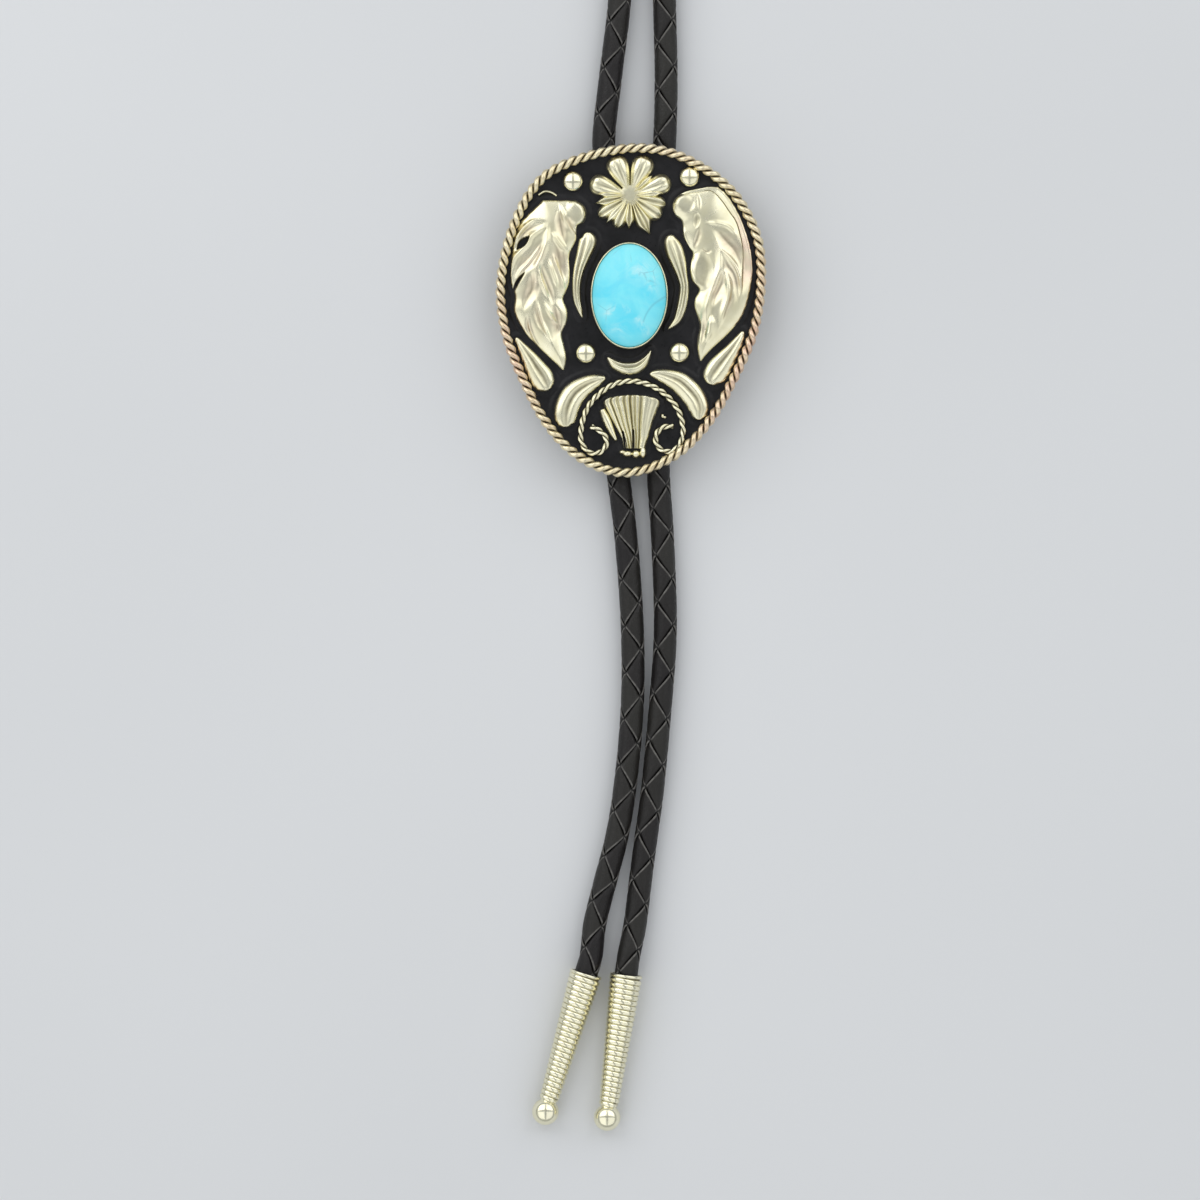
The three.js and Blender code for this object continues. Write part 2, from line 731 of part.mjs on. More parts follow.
const rightRun = [
  { x: 6.6, y: -38, lift: 0.4 },
  { x: 7.6, y: -54, lift: 0.1 },
  { x: 8.3, y: -77, lift: 0 },
  { x: 7, y: -96, lift: 0 },
  { x: 5.1, y: -116, lift: 0 },
  { x: 3.6, y: -127, lift: 0 },
  { x: 2.4, y: -136.2, lift: 0 },
  { x: 1.0, y: -147.5, lift: 0.3 },
];

function throughClip(x, upwards) {
  const reach = clip.length / 2 + 2 * cord.diameter;
  const places = [-reach, -clip.length / 2, clip.length / 2, reach];
  return (upwards ? places : places.reverse()).map((y) => ({ x, y, lift: channelZ - cordRestZ }));
}

function intoTip(row) {
  const { mouth, towards } = tipAxis(row);
  const depths = [tip.socket - seatGap, tip.socket / 2, 0, -tip.socket / 2];
  return depths.map((depth) => {
    const at = mouth.clone().addScaledVector(towards, -depth);
    return { x: at.x, y: at.y, lift: at.z - cordRestZ };
  });
}

function makeCord() {
  const route = [
    ...intoTip(tips[0]),
    ...leftRun,
    ...throughClip(clip.centre - clip.spacing / 2, true),
    ...neckLoop,
    ...throughClip(clip.centre + clip.spacing / 2, false),
    ...rightRun,
    ...intoTip(tips[1]).reverse(),
  ];
  const points = route.map((at) => new THREE.Vector3(at.x, at.y, cordRestZ + at.lift));
  const line = new THREE.CatmullRomCurve3(points);
  line.arcLengthDivisions = 2000;
  const sides = 10;
  const section = new THREE.Shape();
  for (let i = 0; i < sides; i += 1) {
    const angle = 2 * Math.PI * i / sides;
    const x = cord.diameter / 2 * Math.cos(angle);
    const y = cord.diameter / 2 * Math.sin(angle);
    if (i === 0) {
      section.moveTo(x, y);
    } else {
      section.lineTo(x, y);
    }
  }
  return new THREE.ExtrudeGeometry(section, { steps: cord.steps, extrudePath: line, bevelEnabled: false });
}

// Assembly

addPiece('plate', makePlate(), enamel);
addPiece('rope_rim', makeRimRope(), ropeMetal);
addPiece('bezel', makeBezel(), silver);
addPiece('stone', makeStone(), turquoise);
beadRows.forEach((row, i) => addPiece(`bead_${i + 1}`, makeBead(row), silver));
addPiece('flower', makeFlower(), silver);
addPiece('leaf_left', moulding(edgeSections(leafLeftRows), 6, leaf.thickness, veined), silver);
addPiece('leaf_right', moulding(edgeSections(leafRightRows), 6, leaf.thickness, veined), silver);
addPiece('leaf_stem',
  moulding(ribbonRows(stemRows, stem.width / halfWidth, 6), 2, stem.thickness, () => 1), silver);
carvings.forEach((piece) => {
  const sections = ribbonRows(piece.rows, piece.widest, 10);
  addPiece(piece.name, moulding(sections, 4, carving.thickness, grooved), silver);
});
addPiece('lasso', makeLasso(), silver);
addPiece('fan', moulding(edgeSections(fanRows), fanColumns, carving.thickness, fluted), silver);
addPiece('fan_spike', moulding(ribbonRows(bladeRows, bladeWidth, 5), 2, carving.thickness, () => 0.7), silver);
addPiece('clip', makeClip(), silver);
addPiece('cord', makeCord(), leather);
tips.forEach((row) => {
  const { mouth, towards } = tipAxis(row);
  const piece = addPiece(row.name, makeTip(), silver);
  piece.position.copy(mouth);
  piece.quaternion.setFromUnitVectors(new THREE.Vector3(0, 1, 0), towards);
});

export default tie;
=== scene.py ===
# Bolo tie: a cast slide with a set stone on a braided leather cord with two wound tips.
# Shapes are worked out in millimetres, and mesh_object() turns them into metres.
# +Y is up the neck, +X is to the right, +Z is out of the stone, and Z = 0 is the table.

import math

import bmesh
import bpy
import numpy as np
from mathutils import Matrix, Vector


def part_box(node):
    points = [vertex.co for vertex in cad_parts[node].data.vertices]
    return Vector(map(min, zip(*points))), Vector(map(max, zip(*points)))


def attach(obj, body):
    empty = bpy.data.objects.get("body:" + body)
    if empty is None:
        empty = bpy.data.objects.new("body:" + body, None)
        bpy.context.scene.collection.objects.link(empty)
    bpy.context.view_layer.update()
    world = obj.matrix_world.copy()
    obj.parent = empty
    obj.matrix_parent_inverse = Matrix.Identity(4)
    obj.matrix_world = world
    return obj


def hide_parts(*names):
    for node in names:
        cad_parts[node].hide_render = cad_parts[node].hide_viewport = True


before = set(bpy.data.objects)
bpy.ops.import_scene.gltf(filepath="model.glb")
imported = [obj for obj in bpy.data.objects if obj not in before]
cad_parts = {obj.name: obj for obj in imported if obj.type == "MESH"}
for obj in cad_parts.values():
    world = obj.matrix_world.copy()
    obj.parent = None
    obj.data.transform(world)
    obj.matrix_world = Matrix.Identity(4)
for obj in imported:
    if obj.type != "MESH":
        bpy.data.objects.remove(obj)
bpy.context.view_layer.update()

MM = 0.001
BODY = "root"

# Sizes, as the solids have them

SLIDE_WIDTH, SLIDE_HEIGHT = 65.0, 80.3
HALF = np.array([SLIDE_WIDTH / 2, SLIDE_HEIGHT / 2])
PLATE_SETBACK = 0.6
RIM_DIAMETER, RIM_TURNS = 2.5, 46
SETTING = np.array([-0.39, 3.493])
SETTING_HALF = np.array([9.3, 12.8])
BEZEL_WALL = 0.4
LASSO_DIAMETER, LASSO_TURN = 1.5, 4.4
ORNAMENT = 1.8
CORD_DIAMETER, CORD_REST = 5.6, 2.85
CLIP_LENGTH, CLIP_SPACING, CLIP_CENTRE = 26.0, 11.8, 0.9
CHANNEL_Z, CHANNEL_BORE, CHANNEL_OUTER = 3.841, 3.1, 3.9
TIP_LENGTH, TIP_MOUTH, TIP_NECK, TIP_BALL, TIP_SOCKET = 38.0, 8.0, 4.7, 6.4, 8.0
TIP_TURNS = 26
PLATE_BOTTOM, PLATE_TOP = (corner.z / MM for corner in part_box("plate"))
# How far round ornaments and the walls of reliefs reach down into the plate
SUNK, SKIRT = 0.2, 0.3


# Points, lines and meshes

def dense_curve(points, closed=False, steps=16):
    """A smooth line through the points, with many short pieces."""
    points = np.asarray(points, float)
    if closed:
        padded = np.concatenate([points[-1:], points, points[:2]])
    else:
        padded = np.concatenate(
            [2 * points[:1] - points[1:2], points, 2 * points[-1:] - points[-2:-1]])
    line = []
    share = np.linspace(0, 1, steps, endpoint=False)[:, None]
    for a, b, c, d in zip(padded, padded[1:], padded[2:], padded[3:]):
        g0, g1, g2 = (max(np.linalg.norm(q - p) ** 0.5, 1e-4) for p, q in ((a, b), (b, c), (c, d)))
        start = ((b - a) / g0 - (c - a) / (g0 + g1) + (c - b) / g1) * g1
        end = ((c - b) / g1 - (d - b) / (g1 + g2) + (d - c) / g2) * g1
        line.append(b + start * share + (3 * (c - b) - 2 * start - end) * share ** 2
                    + (2 * (b - c) + start + end) * share ** 3)
    line = np.concatenate(line)
    return line if closed else np.concatenate([line, points[-1:]])


def run_lengths(line):
    """How far along the line each of its points lies."""
    return np.concatenate([[0], np.cumsum(np.linalg.norm(np.diff(line, axis=0), axis=1))])


def even(line, count, closed=False):
    """count points at equal distances along a line."""
    if closed:
        line = np.concatenate([line, line[:1]])
    lengths = run_lengths(line)
    wanted = np.linspace(0, lengths[-1], count, endpoint=not closed)
    return np.stack([np.interp(wanted, lengths, line[:, k]) for k in range(line.shape[1])], 1)


def unit(vectors):
    return vectors / np.maximum(np.linalg.norm(vectors, axis=-1, keepdims=True), 1e-9)


def directions(line, closed=False):
    if closed:
        return unit(np.roll(line, -1, 0) - np.roll(line, 1, 0))
    return unit(np.gradient(line, axis=0))


def raised(line, z):
    """A flat line lifted to a height."""
    return np.column_stack([line, np.full(len(line), z)])


def round_turn(count):
    """count angles once round."""
    return 2 * math.pi * np.arange(count) / count


def distance_to(points, line):
    """Distance from each point to a line of straight pieces."""
    best = np.full(len(points), 1e9)
    for a, b in zip(line, line[1:]):
        span = b - a
        share = np.clip(((points - a) @ span) / max(span @ span, 1e-9), 0, 1)
        best = np.minimum(best, np.linalg.norm(points - a - share[:, None] * span, axis=1))
    return best


def nearest_on(points, rows, steps=6):
    """Each point's distance to a curve, how far along it that is, and on which side it lies."""
    line = dense_curve(rows, steps=steps)
    best, share, side = np.full(len(points), 1e9), np.zeros(len(points)), np.zeros(len(points))
    lengths = run_lengths(line)
    for a, b, start in zip(line, line[1:], lengths):
        span = b - a
        part = np.clip(((points - a) @ span) / max(span @ span, 1e-9), 0, 1)
        away = points - a - part[:, None] * span
        distance = np.linalg.norm(away, axis=1)
        closer = distance < best
        best = np.where(closer, distance, best)
        share = np.where(closer, (start + part * np.linalg.norm(span)) / lengths[-1], share)
        side = np.where(closer, np.sign(span[0] * away[:, 1] - span[1] * away[:, 0]), side)
    return best, share, side


def smooth_step(value, low, high):
    share = np.clip((value - low) / (high - low), 0, 1)
    return share * share * (3 - 2 * share)


def tapered(share, reach):
    """Rises from 0 at a line's two ends to 1."""
    return smooth_step(np.minimum(share, 1 - share), -0.02, reach)


def bell(value, spread):
    """1 where the value is 0, and falling away on both sides."""
    return np.exp(-(value / spread) ** 2)


def rounded(share, least=0.0):
    """Rises like a quarter circle as the share goes from 0 to 1."""
    return np.sqrt(np.clip(1 - (1 - np.clip(share, 0, 1)) ** 2, least, 1))


def grid_faces(rows, columns, wrap_rows=False, wrap_columns=False):
    down = np.arange(rows if wrap_rows else rows - 1)
    across = np.arange(columns if wrap_columns else columns - 1)
    a, b = (g.ravel() for g in np.meshgrid(down, across, indexing="ij"))
    a2, b2 = (a + 1) % rows, (b + 1) % columns
    return np.stack([a * columns + b, a * columns + b2, a2 * columns + b2, a2 * columns + b],
                    1).tolist()


def new_object(name, data):
    made = bpy.data.objects.new(name, data)
    bpy.context.scene.collection.objects.link(made)
    return made


class Shell:
    """Points, faces and named values gathered for one mesh."""

    def __init__(self):
        self.points, self.faces, self.values, self.count = [], [], {}, 0

    def add(self, points, faces, **values):
        points = np.asarray(points, float).reshape(-1, 3)
        self.points.append(points)
        self.faces += [[i + self.count for i in face] for face in faces]
        for name in set(self.values) | set(values):
            held = self.values.setdefault(name, [np.zeros(self.count)])
            value = np.asarray(values.get(name, 0.0), float).ravel()
            held.append(np.broadcast_to(value, len(points)))
        self.count += len(points)
        return self

    def add_tube(self, rings, closed=False, **values):
        """rings is an array of sections, each a closed loop of points."""
        rows, columns = rings.shape[:2]
        faces = grid_faces(rows, columns, closed, True)
        if not closed:
            faces.append(list(range(columns))[::-1])
            faces.append([(rows - 1) * columns + k for k in range(columns)])
        return self.add(rings, faces, **values)

    def lathe(self, profile, place, sides, closed=False, **values):
        """Turns (radius, height) rows round an axis; place() puts (x, y, height) in space."""
        profile = np.asarray(profile, float)
        angle = round_turn(sides)
        points = np.stack([profile[:, :1] * np.cos(angle), profile[:, :1] * np.sin(angle),
                           np.repeat(profile[:, 1:2], sides, 1)], -1)
        spread = {key: np.repeat(np.broadcast_to(value, len(profile)), sides)
                  for key, value in values.items()}
        self.add_tube(place(points.reshape(-1, 3)).reshape(points.shape), closed, **spread)

    def add_relief(self, top, groove, warm=None):
        """Closes a raised grid with a wall down into the plate and one face below."""
        total = top.shape[0] * top.shape[1]
        index = np.arange(total).reshape(top.shape[:2])
        edge = np.concatenate([index[0], index[1:, -1], index[-1, -2::-1], index[-2:0:-1, 0]])
        flat = top.reshape(-1, 3)
        skirt = raised(flat[edge, :2], PLATE_TOP - SKIRT)
        around = len(edge)
        faces = grid_faces(*top.shape[:2])
        faces += [[int(edge[k]), int(edge[(k + 1) % around]), total + (k + 1) % around, total + k]
                  for k in range(around)]
        faces.append([total + k for k in range(around)])
        # The wall down into the plate is painted fully dark: painted shade where the piece meets
        # the field.
        values = {"groove": np.concatenate([groove.ravel(), np.ones(around)])}
        if warm is not None:
            values["warm"] = np.concatenate([warm.ravel(), warm.ravel()[edge]])
        self.add(np.concatenate([flat, skirt]), faces, **values)


def mesh_object(name, shell, look, *replaced):
    mesh = bpy.data.meshes.new(name)
    points = np.concatenate(shell.points) * MM
    mesh.from_pydata(points.tolist(), [], shell.faces)
    for value_name, parts in shell.values.items():
        layer = mesh.attributes.new(value_name, "FLOAT", "POINT")
        layer.data.foreach_set("value", np.concatenate(parts).astype(np.float32))
    work = bmesh.new()
    work.from_mesh(mesh)
    bmesh.ops.recalc_face_normals(work, faces=work.faces)
    work.to_mesh(mesh)
    work.free()
    cap_corners = 9
    mesh.polygons.foreach_set("use_smooth", [len(p.vertices) < cap_corners for p in mesh.polygons])
    mesh.update()
    mesh.materials.append(look.material)
    piece = new_object(name, mesh)
    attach(piece, BODY)
    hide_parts(*replaced)
    return piece


# Materials. The numbers of a noise are its scale, detail, roughness and distortion, and those
# of ranged() are the part of its input that it reads and the values that it gives.

class Look:
    """A material made of nodes, with the slot of the pieces that wear it."""

    def __init__(self, name, slot, **sockets):
        self.slot = slot
        self.material = bpy.data.materials.new(name)
        self.material.use_nodes = True
        self.tree = self.material.node_tree
        self.shader = self.tree.nodes["Principled BSDF"]
        for key, value in sockets.items():
            self.shader.inputs[key.replace("_", " ")].default_value = value

    def node(self, kind, inputs=(), **settings):
        made = self.tree.nodes.new(kind)
        for key, value in settings.items():
            setattr(made, key, value)
        for key, value in dict(inputs).items():
            if isinstance(value, bpy.types.NodeSocket):
                self.tree.links.new(value, made.inputs[key])
            else:
                made.inputs[key].default_value = value
        return made

    def place(self):
        return self.node("ShaderNodeTexCoord").outputs["Object"]

    def noise(self, scale, detail=3.0, roughness=0.5, distortion=0.0):
        return self.node("ShaderNodeTexNoise", {
            "Vector": self.place(), "Scale": scale, "Detail": detail, "Roughness": roughness,
            "Distortion": distortion}).outputs["Fac"]

    def cells(self, scale, **settings):
        return self.node("ShaderNodeTexVoronoi", {"Vector": self.place(), "Scale": scale},
                         **settings).outputs["Distance"]

    def ranged(self, value, low, high, to_low=0.0, to_high=1.0):
        return self.node("ShaderNodeMapRange", {
            "Value": value, "From Min": low, "From Max": high,
            "To Min": to_low, "To Max": to_high}).outputs["Result"]

    def added(self, a, b):
        return self.node("ShaderNodeMath", {0: a, 1: b}, operation="ADD").outputs[0]

    def times(self, a, b):
        return self.node("ShaderNodeMath", {0: a, 1: b}, operation="MULTIPLY").outputs[0]

    def mixed(self, share, *colours):
        first, second = (c if isinstance(c, bpy.types.NodeSocket) else (*c, 1.0) for c in colours)
        return self.node("ShaderNodeMix", {0: share, 6: first, 7: second},
                         data_type="RGBA").outputs[2]

    def value(self, name):
        """One of the mesh's own values."""
        return self.node("ShaderNodeAttribute", attribute_name=name).outputs["Fac"]

    def join(self, **sockets):
        for key, value in sockets.items():
            self.tree.links.new(value, self.shader.inputs[key.replace("_", " ")])

    def finish(self, colour, roughness, height, strength, distance):
        """Joins the colour, the roughness and a bump whose distance is in metres."""
        bump = self.node("ShaderNodeBump", {
            "Height": height, "Strength": strength, "Distance": distance})
        self.join(Base_Color=colour, Roughness=roughness, Normal=bump.outputs["Normal"])
        return self


def metal(name, slot, bright, tone, oxide_shade_colour, smooth, rough, warm=None):
    """Cast or drawn nickel silver: clouded tone, fine scratches, and oxide and painted shade where
    groove is 1.
    """
    look = Look(name, slot, Metallic=1.0)
    clouds = look.ranged(look.noise(190.0, 4.0, 0.6, 0.6), 0.32, 0.68)
    base = look.mixed(clouds, bright, tone)
    if warm is not None:
        blush = look.ranged(look.noise(420.0, 2.0), 0.3, 0.62, 0.35, 1.0)
        base = look.mixed(look.times(look.value("warm"), blush), base, warm)
    speckle = look.ranged(look.noise(900.0, 5.0, 0.65), 0.35, 0.75, -0.10, 0.05)
    # groove with fine speckle: where oxide and painted shade darken the colour and raise the
    # roughness
    oxide_and_shade_mask = look.node("ShaderNodeClamp", {"Value": look.added(look.value("groove"), speckle)})
    oxide_and_shade_mask = oxide_and_shade_mask.outputs[0]
    wear = look.added(look.ranged(clouds, 0.0, 1.0, smooth, smooth + 0.07),
                      look.times(oxide_and_shade_mask, rough - smooth))
    return look.finish(look.mixed(oxide_and_shade_mask, base, oxide_shade_colour), wear, look.noise(2600.0, 3.0, 0.6),
                       strength=0.025, distance=0.00004)


def enamel():
    look = Look("black_enamel", "enamel", Specular_IOR_Level=0.22)
    mottle = look.ranged(look.noise(260.0, 4.0, 0.6), 0.35, 0.7)
    colour = look.mixed(mottle, (0.007, 0.007, 0.0075), (0.016, 0.0155, 0.017))
    roughness = look.ranged(look.noise(1500.0, 4.0, 0.6), 0.3, 0.7, 0.26, 0.46)
    return look.finish(colour, roughness, look.noise(620.0), strength=0.25, distance=0.00012)


def turquoise():
    look = Look("turquoise", "turquoise", Specular_IOR_Level=0.3)
    broad = look.ranged(look.noise(95.0, 4.0, 0.55, 0.8), 0.38, 0.66)
    stone = look.mixed(broad, (0.145, 0.77, 0.94), (0.26, 0.87, 0.96))
    milk = look.times(look.ranged(look.noise(170.0, 6.0, 0.66, 1.6), 0.42, 0.62),
                      look.ranged(look.value("milk"), 0.0, 1.0, 0.12, 1.0))
    stone = look.mixed(milk, stone, (0.56, 0.92, 0.95))
    cracks = look.added(look.cells(210.0, feature="DISTANCE_TO_EDGE"),
                        look.times(look.noise(700.0, 5.0, 0.7), 0.09))
    where = look.ranged(look.noise(120.0, 3.0, 0.5, 0.4), 0.53, 0.62, 0.0, 0.55)
    veins = look.times(look.ranged(cracks, 0.03, 0.075, 1.0, 0.0), where)
    stone = look.mixed(veins, stone, (0.20, 0.47, 0.56))
    stone = look.mixed(look.value("vein"), stone, (0.12, 0.42, 0.55))
    fine = look.noise(1800.0)
    return look.finish(stone, look.ranged(fine, 0.3, 0.7, 0.30, 0.44), fine,
                       strength=0.06, distance=0.00005)


def leather():
    look = Look("braided_leather", "leather", Specular_IOR_Level=0.34)
    worn = look.ranged(look.noise(300.0, 3.0, 0.6), 0.3, 0.7)
    hide = look.mixed(worn, (0.0045, 0.0044, 0.0046), (0.012, 0.0115, 0.0115))
    brown = look.mixed(look.value("shade"), (0.0075, 0.0045, 0.005), (0.029, 0.027, 0.021))
    hide = look.mixed(0.5, hide, brown)
    cut = look.times(look.value("edge"),
                     look.ranged(look.noise(900.0, 4.0, 0.6), 0.3, 0.65, 0.35, 1.0))
    hide = look.mixed(cut, hide, (0.16, 0.152, 0.14))
    # Nearly black where groove is 1: painted shade in the braid's crevices, on its inner faces and
    # on its core.
    hide = look.mixed(look.value("groove"), hide, (0.0015, 0.0015, 0.0015))
    creases = look.noise(1300.0, 4.0, 0.65)
    return look.finish(hide, look.ranged(creases, 0.3, 0.7, 0.32, 0.58),
                       look.added(look.cells(2600.0), creases), strength=0.5, distance=0.00014)


# Each metal: its name and slot, bright and clouded tone, the dark colour of oxide and painted
# shade, and its roughness where it is polished and where it is dark
SILVER = metal("silver", "silver", (0.95, 0.91, 0.68), (0.85, 0.80, 0.55), (0.10, 0.085, 0.04),
               0.25, 0.5, warm=(0.88, 0.66, 0.52))
POLISHED = metal("polished_silver", "silver", (0.97, 0.93, 0.72), (0.91, 0.87, 0.64),
                 (0.12, 0.10, 0.05), 0.15, 0.45)
BEAD_METAL = metal("bead_silver", "silver", (0.95, 0.91, 0.68), (0.86, 0.81, 0.56),
                   (0.10, 0.085, 0.04), 0.17, 0.45)
ROPE_METAL = metal("rope_metal", "rope_metal", (0.90, 0.82, 0.58), (0.78, 0.66, 0.42),
                   (0.05, 0.035, 0.022), 0.27, 0.65, warm=(0.77, 0.55, 0.41))
BACK_METAL = metal("back_metal", "back_metal", (0.74, 0.71, 0.60), (0.60, 0.57, 0.46),
                   (0.12, 0.10, 0.06), 0.34, 0.6)
ENAMEL, TURQUOISE, LEATHER = enamel(), turquoise(), leather()


# Camera, straight above the tie, with the photograph's 288 mm frame

CAMERA_AT = np.array([-7.4, -69.4, 2000.0])
FRAME_WIDTH, FRAME_HEIGHT_AT = 288.0, 6.0


def make_camera():
    data = bpy.data.cameras.new("camera")
    data.sensor_width = 36.0
    data.lens = data.sensor_width * (CAMERA_AT[2] - FRAME_HEIGHT_AT) / FRAME_WIDTH
    camera = new_object("camera", data)
    camera.location = CAMERA_AT * MM
    bpy.context.scene.camera = camera


# Tips: where each mouth lies, and the heading in degrees of its open end

TIPS = {"tip_left": (-10.7, -159.0, 73.6), "tip_right": (-1.1, -159.3, 82.4)}
TIP_SIDES, TIP_RIM_SIDES, BALL_ROWS = 40, 56, 22
WIRE_RADIAL, WIRE_SIDES, WIRE_STEPS = 0.45, 12, 42
AXIS_GAP = 0.05


def tip_axis(name):
    x, y, heading = TIPS[name]
    heading = math.radians(heading)
    run = TIP_LENGTH - TIP_BALL / 2
    mouth = np.array([x, y, TIP_MOUTH / 2])
    ball = np.array([x - run * math.cos(heading), y - run * math.sin(heading), TIP_BALL / 2])
    return mouth, unit(mouth - ball)


def tip_place(name):
    mouth, towards = tip_axis(name)
    side = unit(np.cross(towards, [0, 0, 1]))
    up = np.cross(side, towards)
    return lambda points: mouth + points @ np.array([side, up, towards])


def make_tip(name):
    """Heights run from the ball's end up to 0 at the mouth."""
    place = tip_place(name)
    shell = Shell()
    ball, neck, mouth = TIP_BALL / 2, TIP_NECK / 2, TIP_MOUTH / 2
    bore = CORD_DIAMETER / 2 + 0.3
    turn = np.linspace(0.04, math.pi - math.asin(0.80 * TIP_NECK / TIP_BALL), BALL_ROWS)
    profile = np.column_stack([ball * np.sin(turn), ball - TIP_LENGTH - ball * np.cos(turn)])
    wound_start = profile[-1, 1]
    collar = [[neck - 0.15, wound_start + 0.9], [neck - 0.5, wound_start + 1.2]]
    # The collar where the ball meets the coil is painted dark: painted shade.
    shell.lathe(np.concatenate([profile, collar]), place, TIP_SIDES,
                groove=[0.0] * BALL_ROWS + [0.3, 0.7])

    def radius_at(height):
        return neck + (mouth - neck) * (1 - height / wound_start)

    core_start = wound_start + 0.3
    core = [[radius_at(h) - 0.5, h] for h in np.linspace(core_start, -0.35, 24)]
    core = [[AXIS_GAP, core_start]] + core + [
        [mouth - 0.55, -0.12], [bore + 0.2, -0.1], [bore, -0.4], [bore, -TIP_SOCKET],
        [AXIS_GAP, -TIP_SOCKET]]
    # The core under the wire is painted nearly fully dark: painted shade between the turns.
    shell.lathe(core, place, TIP_SIDES, groove=0.95)
    wire_axial = -wound_start / TIP_TURNS / 2
    share = np.linspace(0, 1, TIP_TURNS * WIRE_STEPS + 1)
    height = wound_start + 0.6 * wire_axial + share * (-wound_start - 1.5 * wire_axial)
    angle = 2 * math.pi * (TIP_TURNS - 1) * share
    section = round_turn(WIRE_SIDES)
    taper = np.clip(np.minimum(share, 1 - share) * 150, 0.25, 1)[:, None]
    radius = (radius_at(height) - WIRE_RADIAL)[:, None] + taper * WIRE_RADIAL * np.cos(section)
    level = height[:, None] + taper * 1.04 * wire_axial * np.sin(section)
    rings = np.stack([radius * np.cos(angle)[:, None], radius * np.sin(angle)[:, None], level], -1)
    # Each turn of wire is painted dark everywhere but its outer crest: painted shade between the
    # turns.
    dark = np.clip(1.15 - 1.9 * np.maximum(np.cos(section), 0) ** 0.7, 0, 1)
    shell.add_tube(place(rings.reshape(-1, 3)).reshape(rings.shape),
                   groove=np.broadcast_to(dark, radius.shape))
    # The rim is painted darker under its outer lip and down into the bore: painted shade.
    rim = [[mouth - 0.6, -0.85], [mouth - 0.14, -0.66], [mouth - 0.05, -0.36],
           [mouth - 0.12, -0.08], [mouth - 0.35, 0], [bore + 0.15, -0.05], [bore + 0.05, -0.7]]
    shell.lathe(rim, place, TIP_RIM_SIDES, True, groove=[0.5, 0.1, 0, 0, 0, 0.5, 1])
    return mesh_object(name + "_wound", shell, POLISHED, name)


# Cord: four flat leather strands braided round, along the solid's own route.
# Each row of a run is across, along, and how far the cord lifts off the table.

LEFT_RUN = [(-8.7, -147.5, 0.3), (-5.9, -136.2, 0), (-3.5, -127, 0), (-1.6, -116, 0),
            (0.3, -96, 0), (0.4, -77, 0), (-1.2, -54, 0.1), (-3.2, -38, 0.4)]
NECK_LOOP = [(-6.5, 40, 0.4), (-4.9, 56, 0), (-2.7, 74.6, 0), (-2.2, 92, 0), (-5.2, 116, 0),
             (-14.5, 144, 0), (-24.8, 172, 0), (-27.8, 200, 0), (-18.5, 227.5, 0), (1, 235.6, 0),
             (20.5, 227.5, 0), (29.8, 200, 0), (26.8, 172, 0), (17.5, 144, 0), (9.8, 116, 0),
             (8, 92, 0), (8.1, 74.6, 0), (8.5, 56, 0), (8.1, 40, 0.4)]
RIGHT_RUN = [(6.6, -38, 0.4), (7.6, -54, 0.1), (8.3, -77, 0), (7, -96, 0), (5.1, -116, 0),
             (3.6, -127, 0), (2.4, -136.2, 0), (1, -147.5, 0.3)]
BRAID_PITCH = 22.4
STRAND_THICK, STRAND_TUCK, CORE_RADIUS = 0.5, 0.55, 1.9
ROUTE_ROWS, PATH_ROWS, CORE_ROWS, CORE_SIDES = 4000, 1100, 700, 8
# Where a strand has points: across its width, and from one crossing to the next as an angle
STRAND_HALF = [0, 0.3, 0.6, 0.85, 0.915, 0.96, 0.985]
STRAND_INSIDE = [0.95, 0, -0.95]
OVER_HALF = [0.3, 0.8, 1.22, 1.36, 1.46, 1.545]
UNDER = [2.4, 3.9]


def cord_route():
    def into_tip(name):
        mouth, towards = tip_axis(name)
        return [mouth - towards * depth
                for depth in (TIP_SOCKET - 0.3, TIP_SOCKET / 2, 0, -TIP_SOCKET / 2)]

    def lying(rows):
        return [np.array([x, y, CORD_REST + lift]) for x, y, lift in rows]

    def through_clip(x, order):
        reach = CLIP_LENGTH / 2 + 2 * CORD_DIAMETER
        places = [-reach, -CLIP_LENGTH / 2, CLIP_LENGTH / 2, reach]
        return [np.array([x, y, CHANNEL_Z]) for y in places[::order]]

    return dense_curve(
        into_tip("tip_left") + lying(LEFT_RUN)
        + through_clip(CLIP_CENTRE - CLIP_SPACING / 2, 1) + lying(NECK_LOOP)
        + through_clip(CLIP_CENTRE + CLIP_SPACING / 2, -1) + lying(RIGHT_RUN)
        + into_tip("tip_right")[::-1])


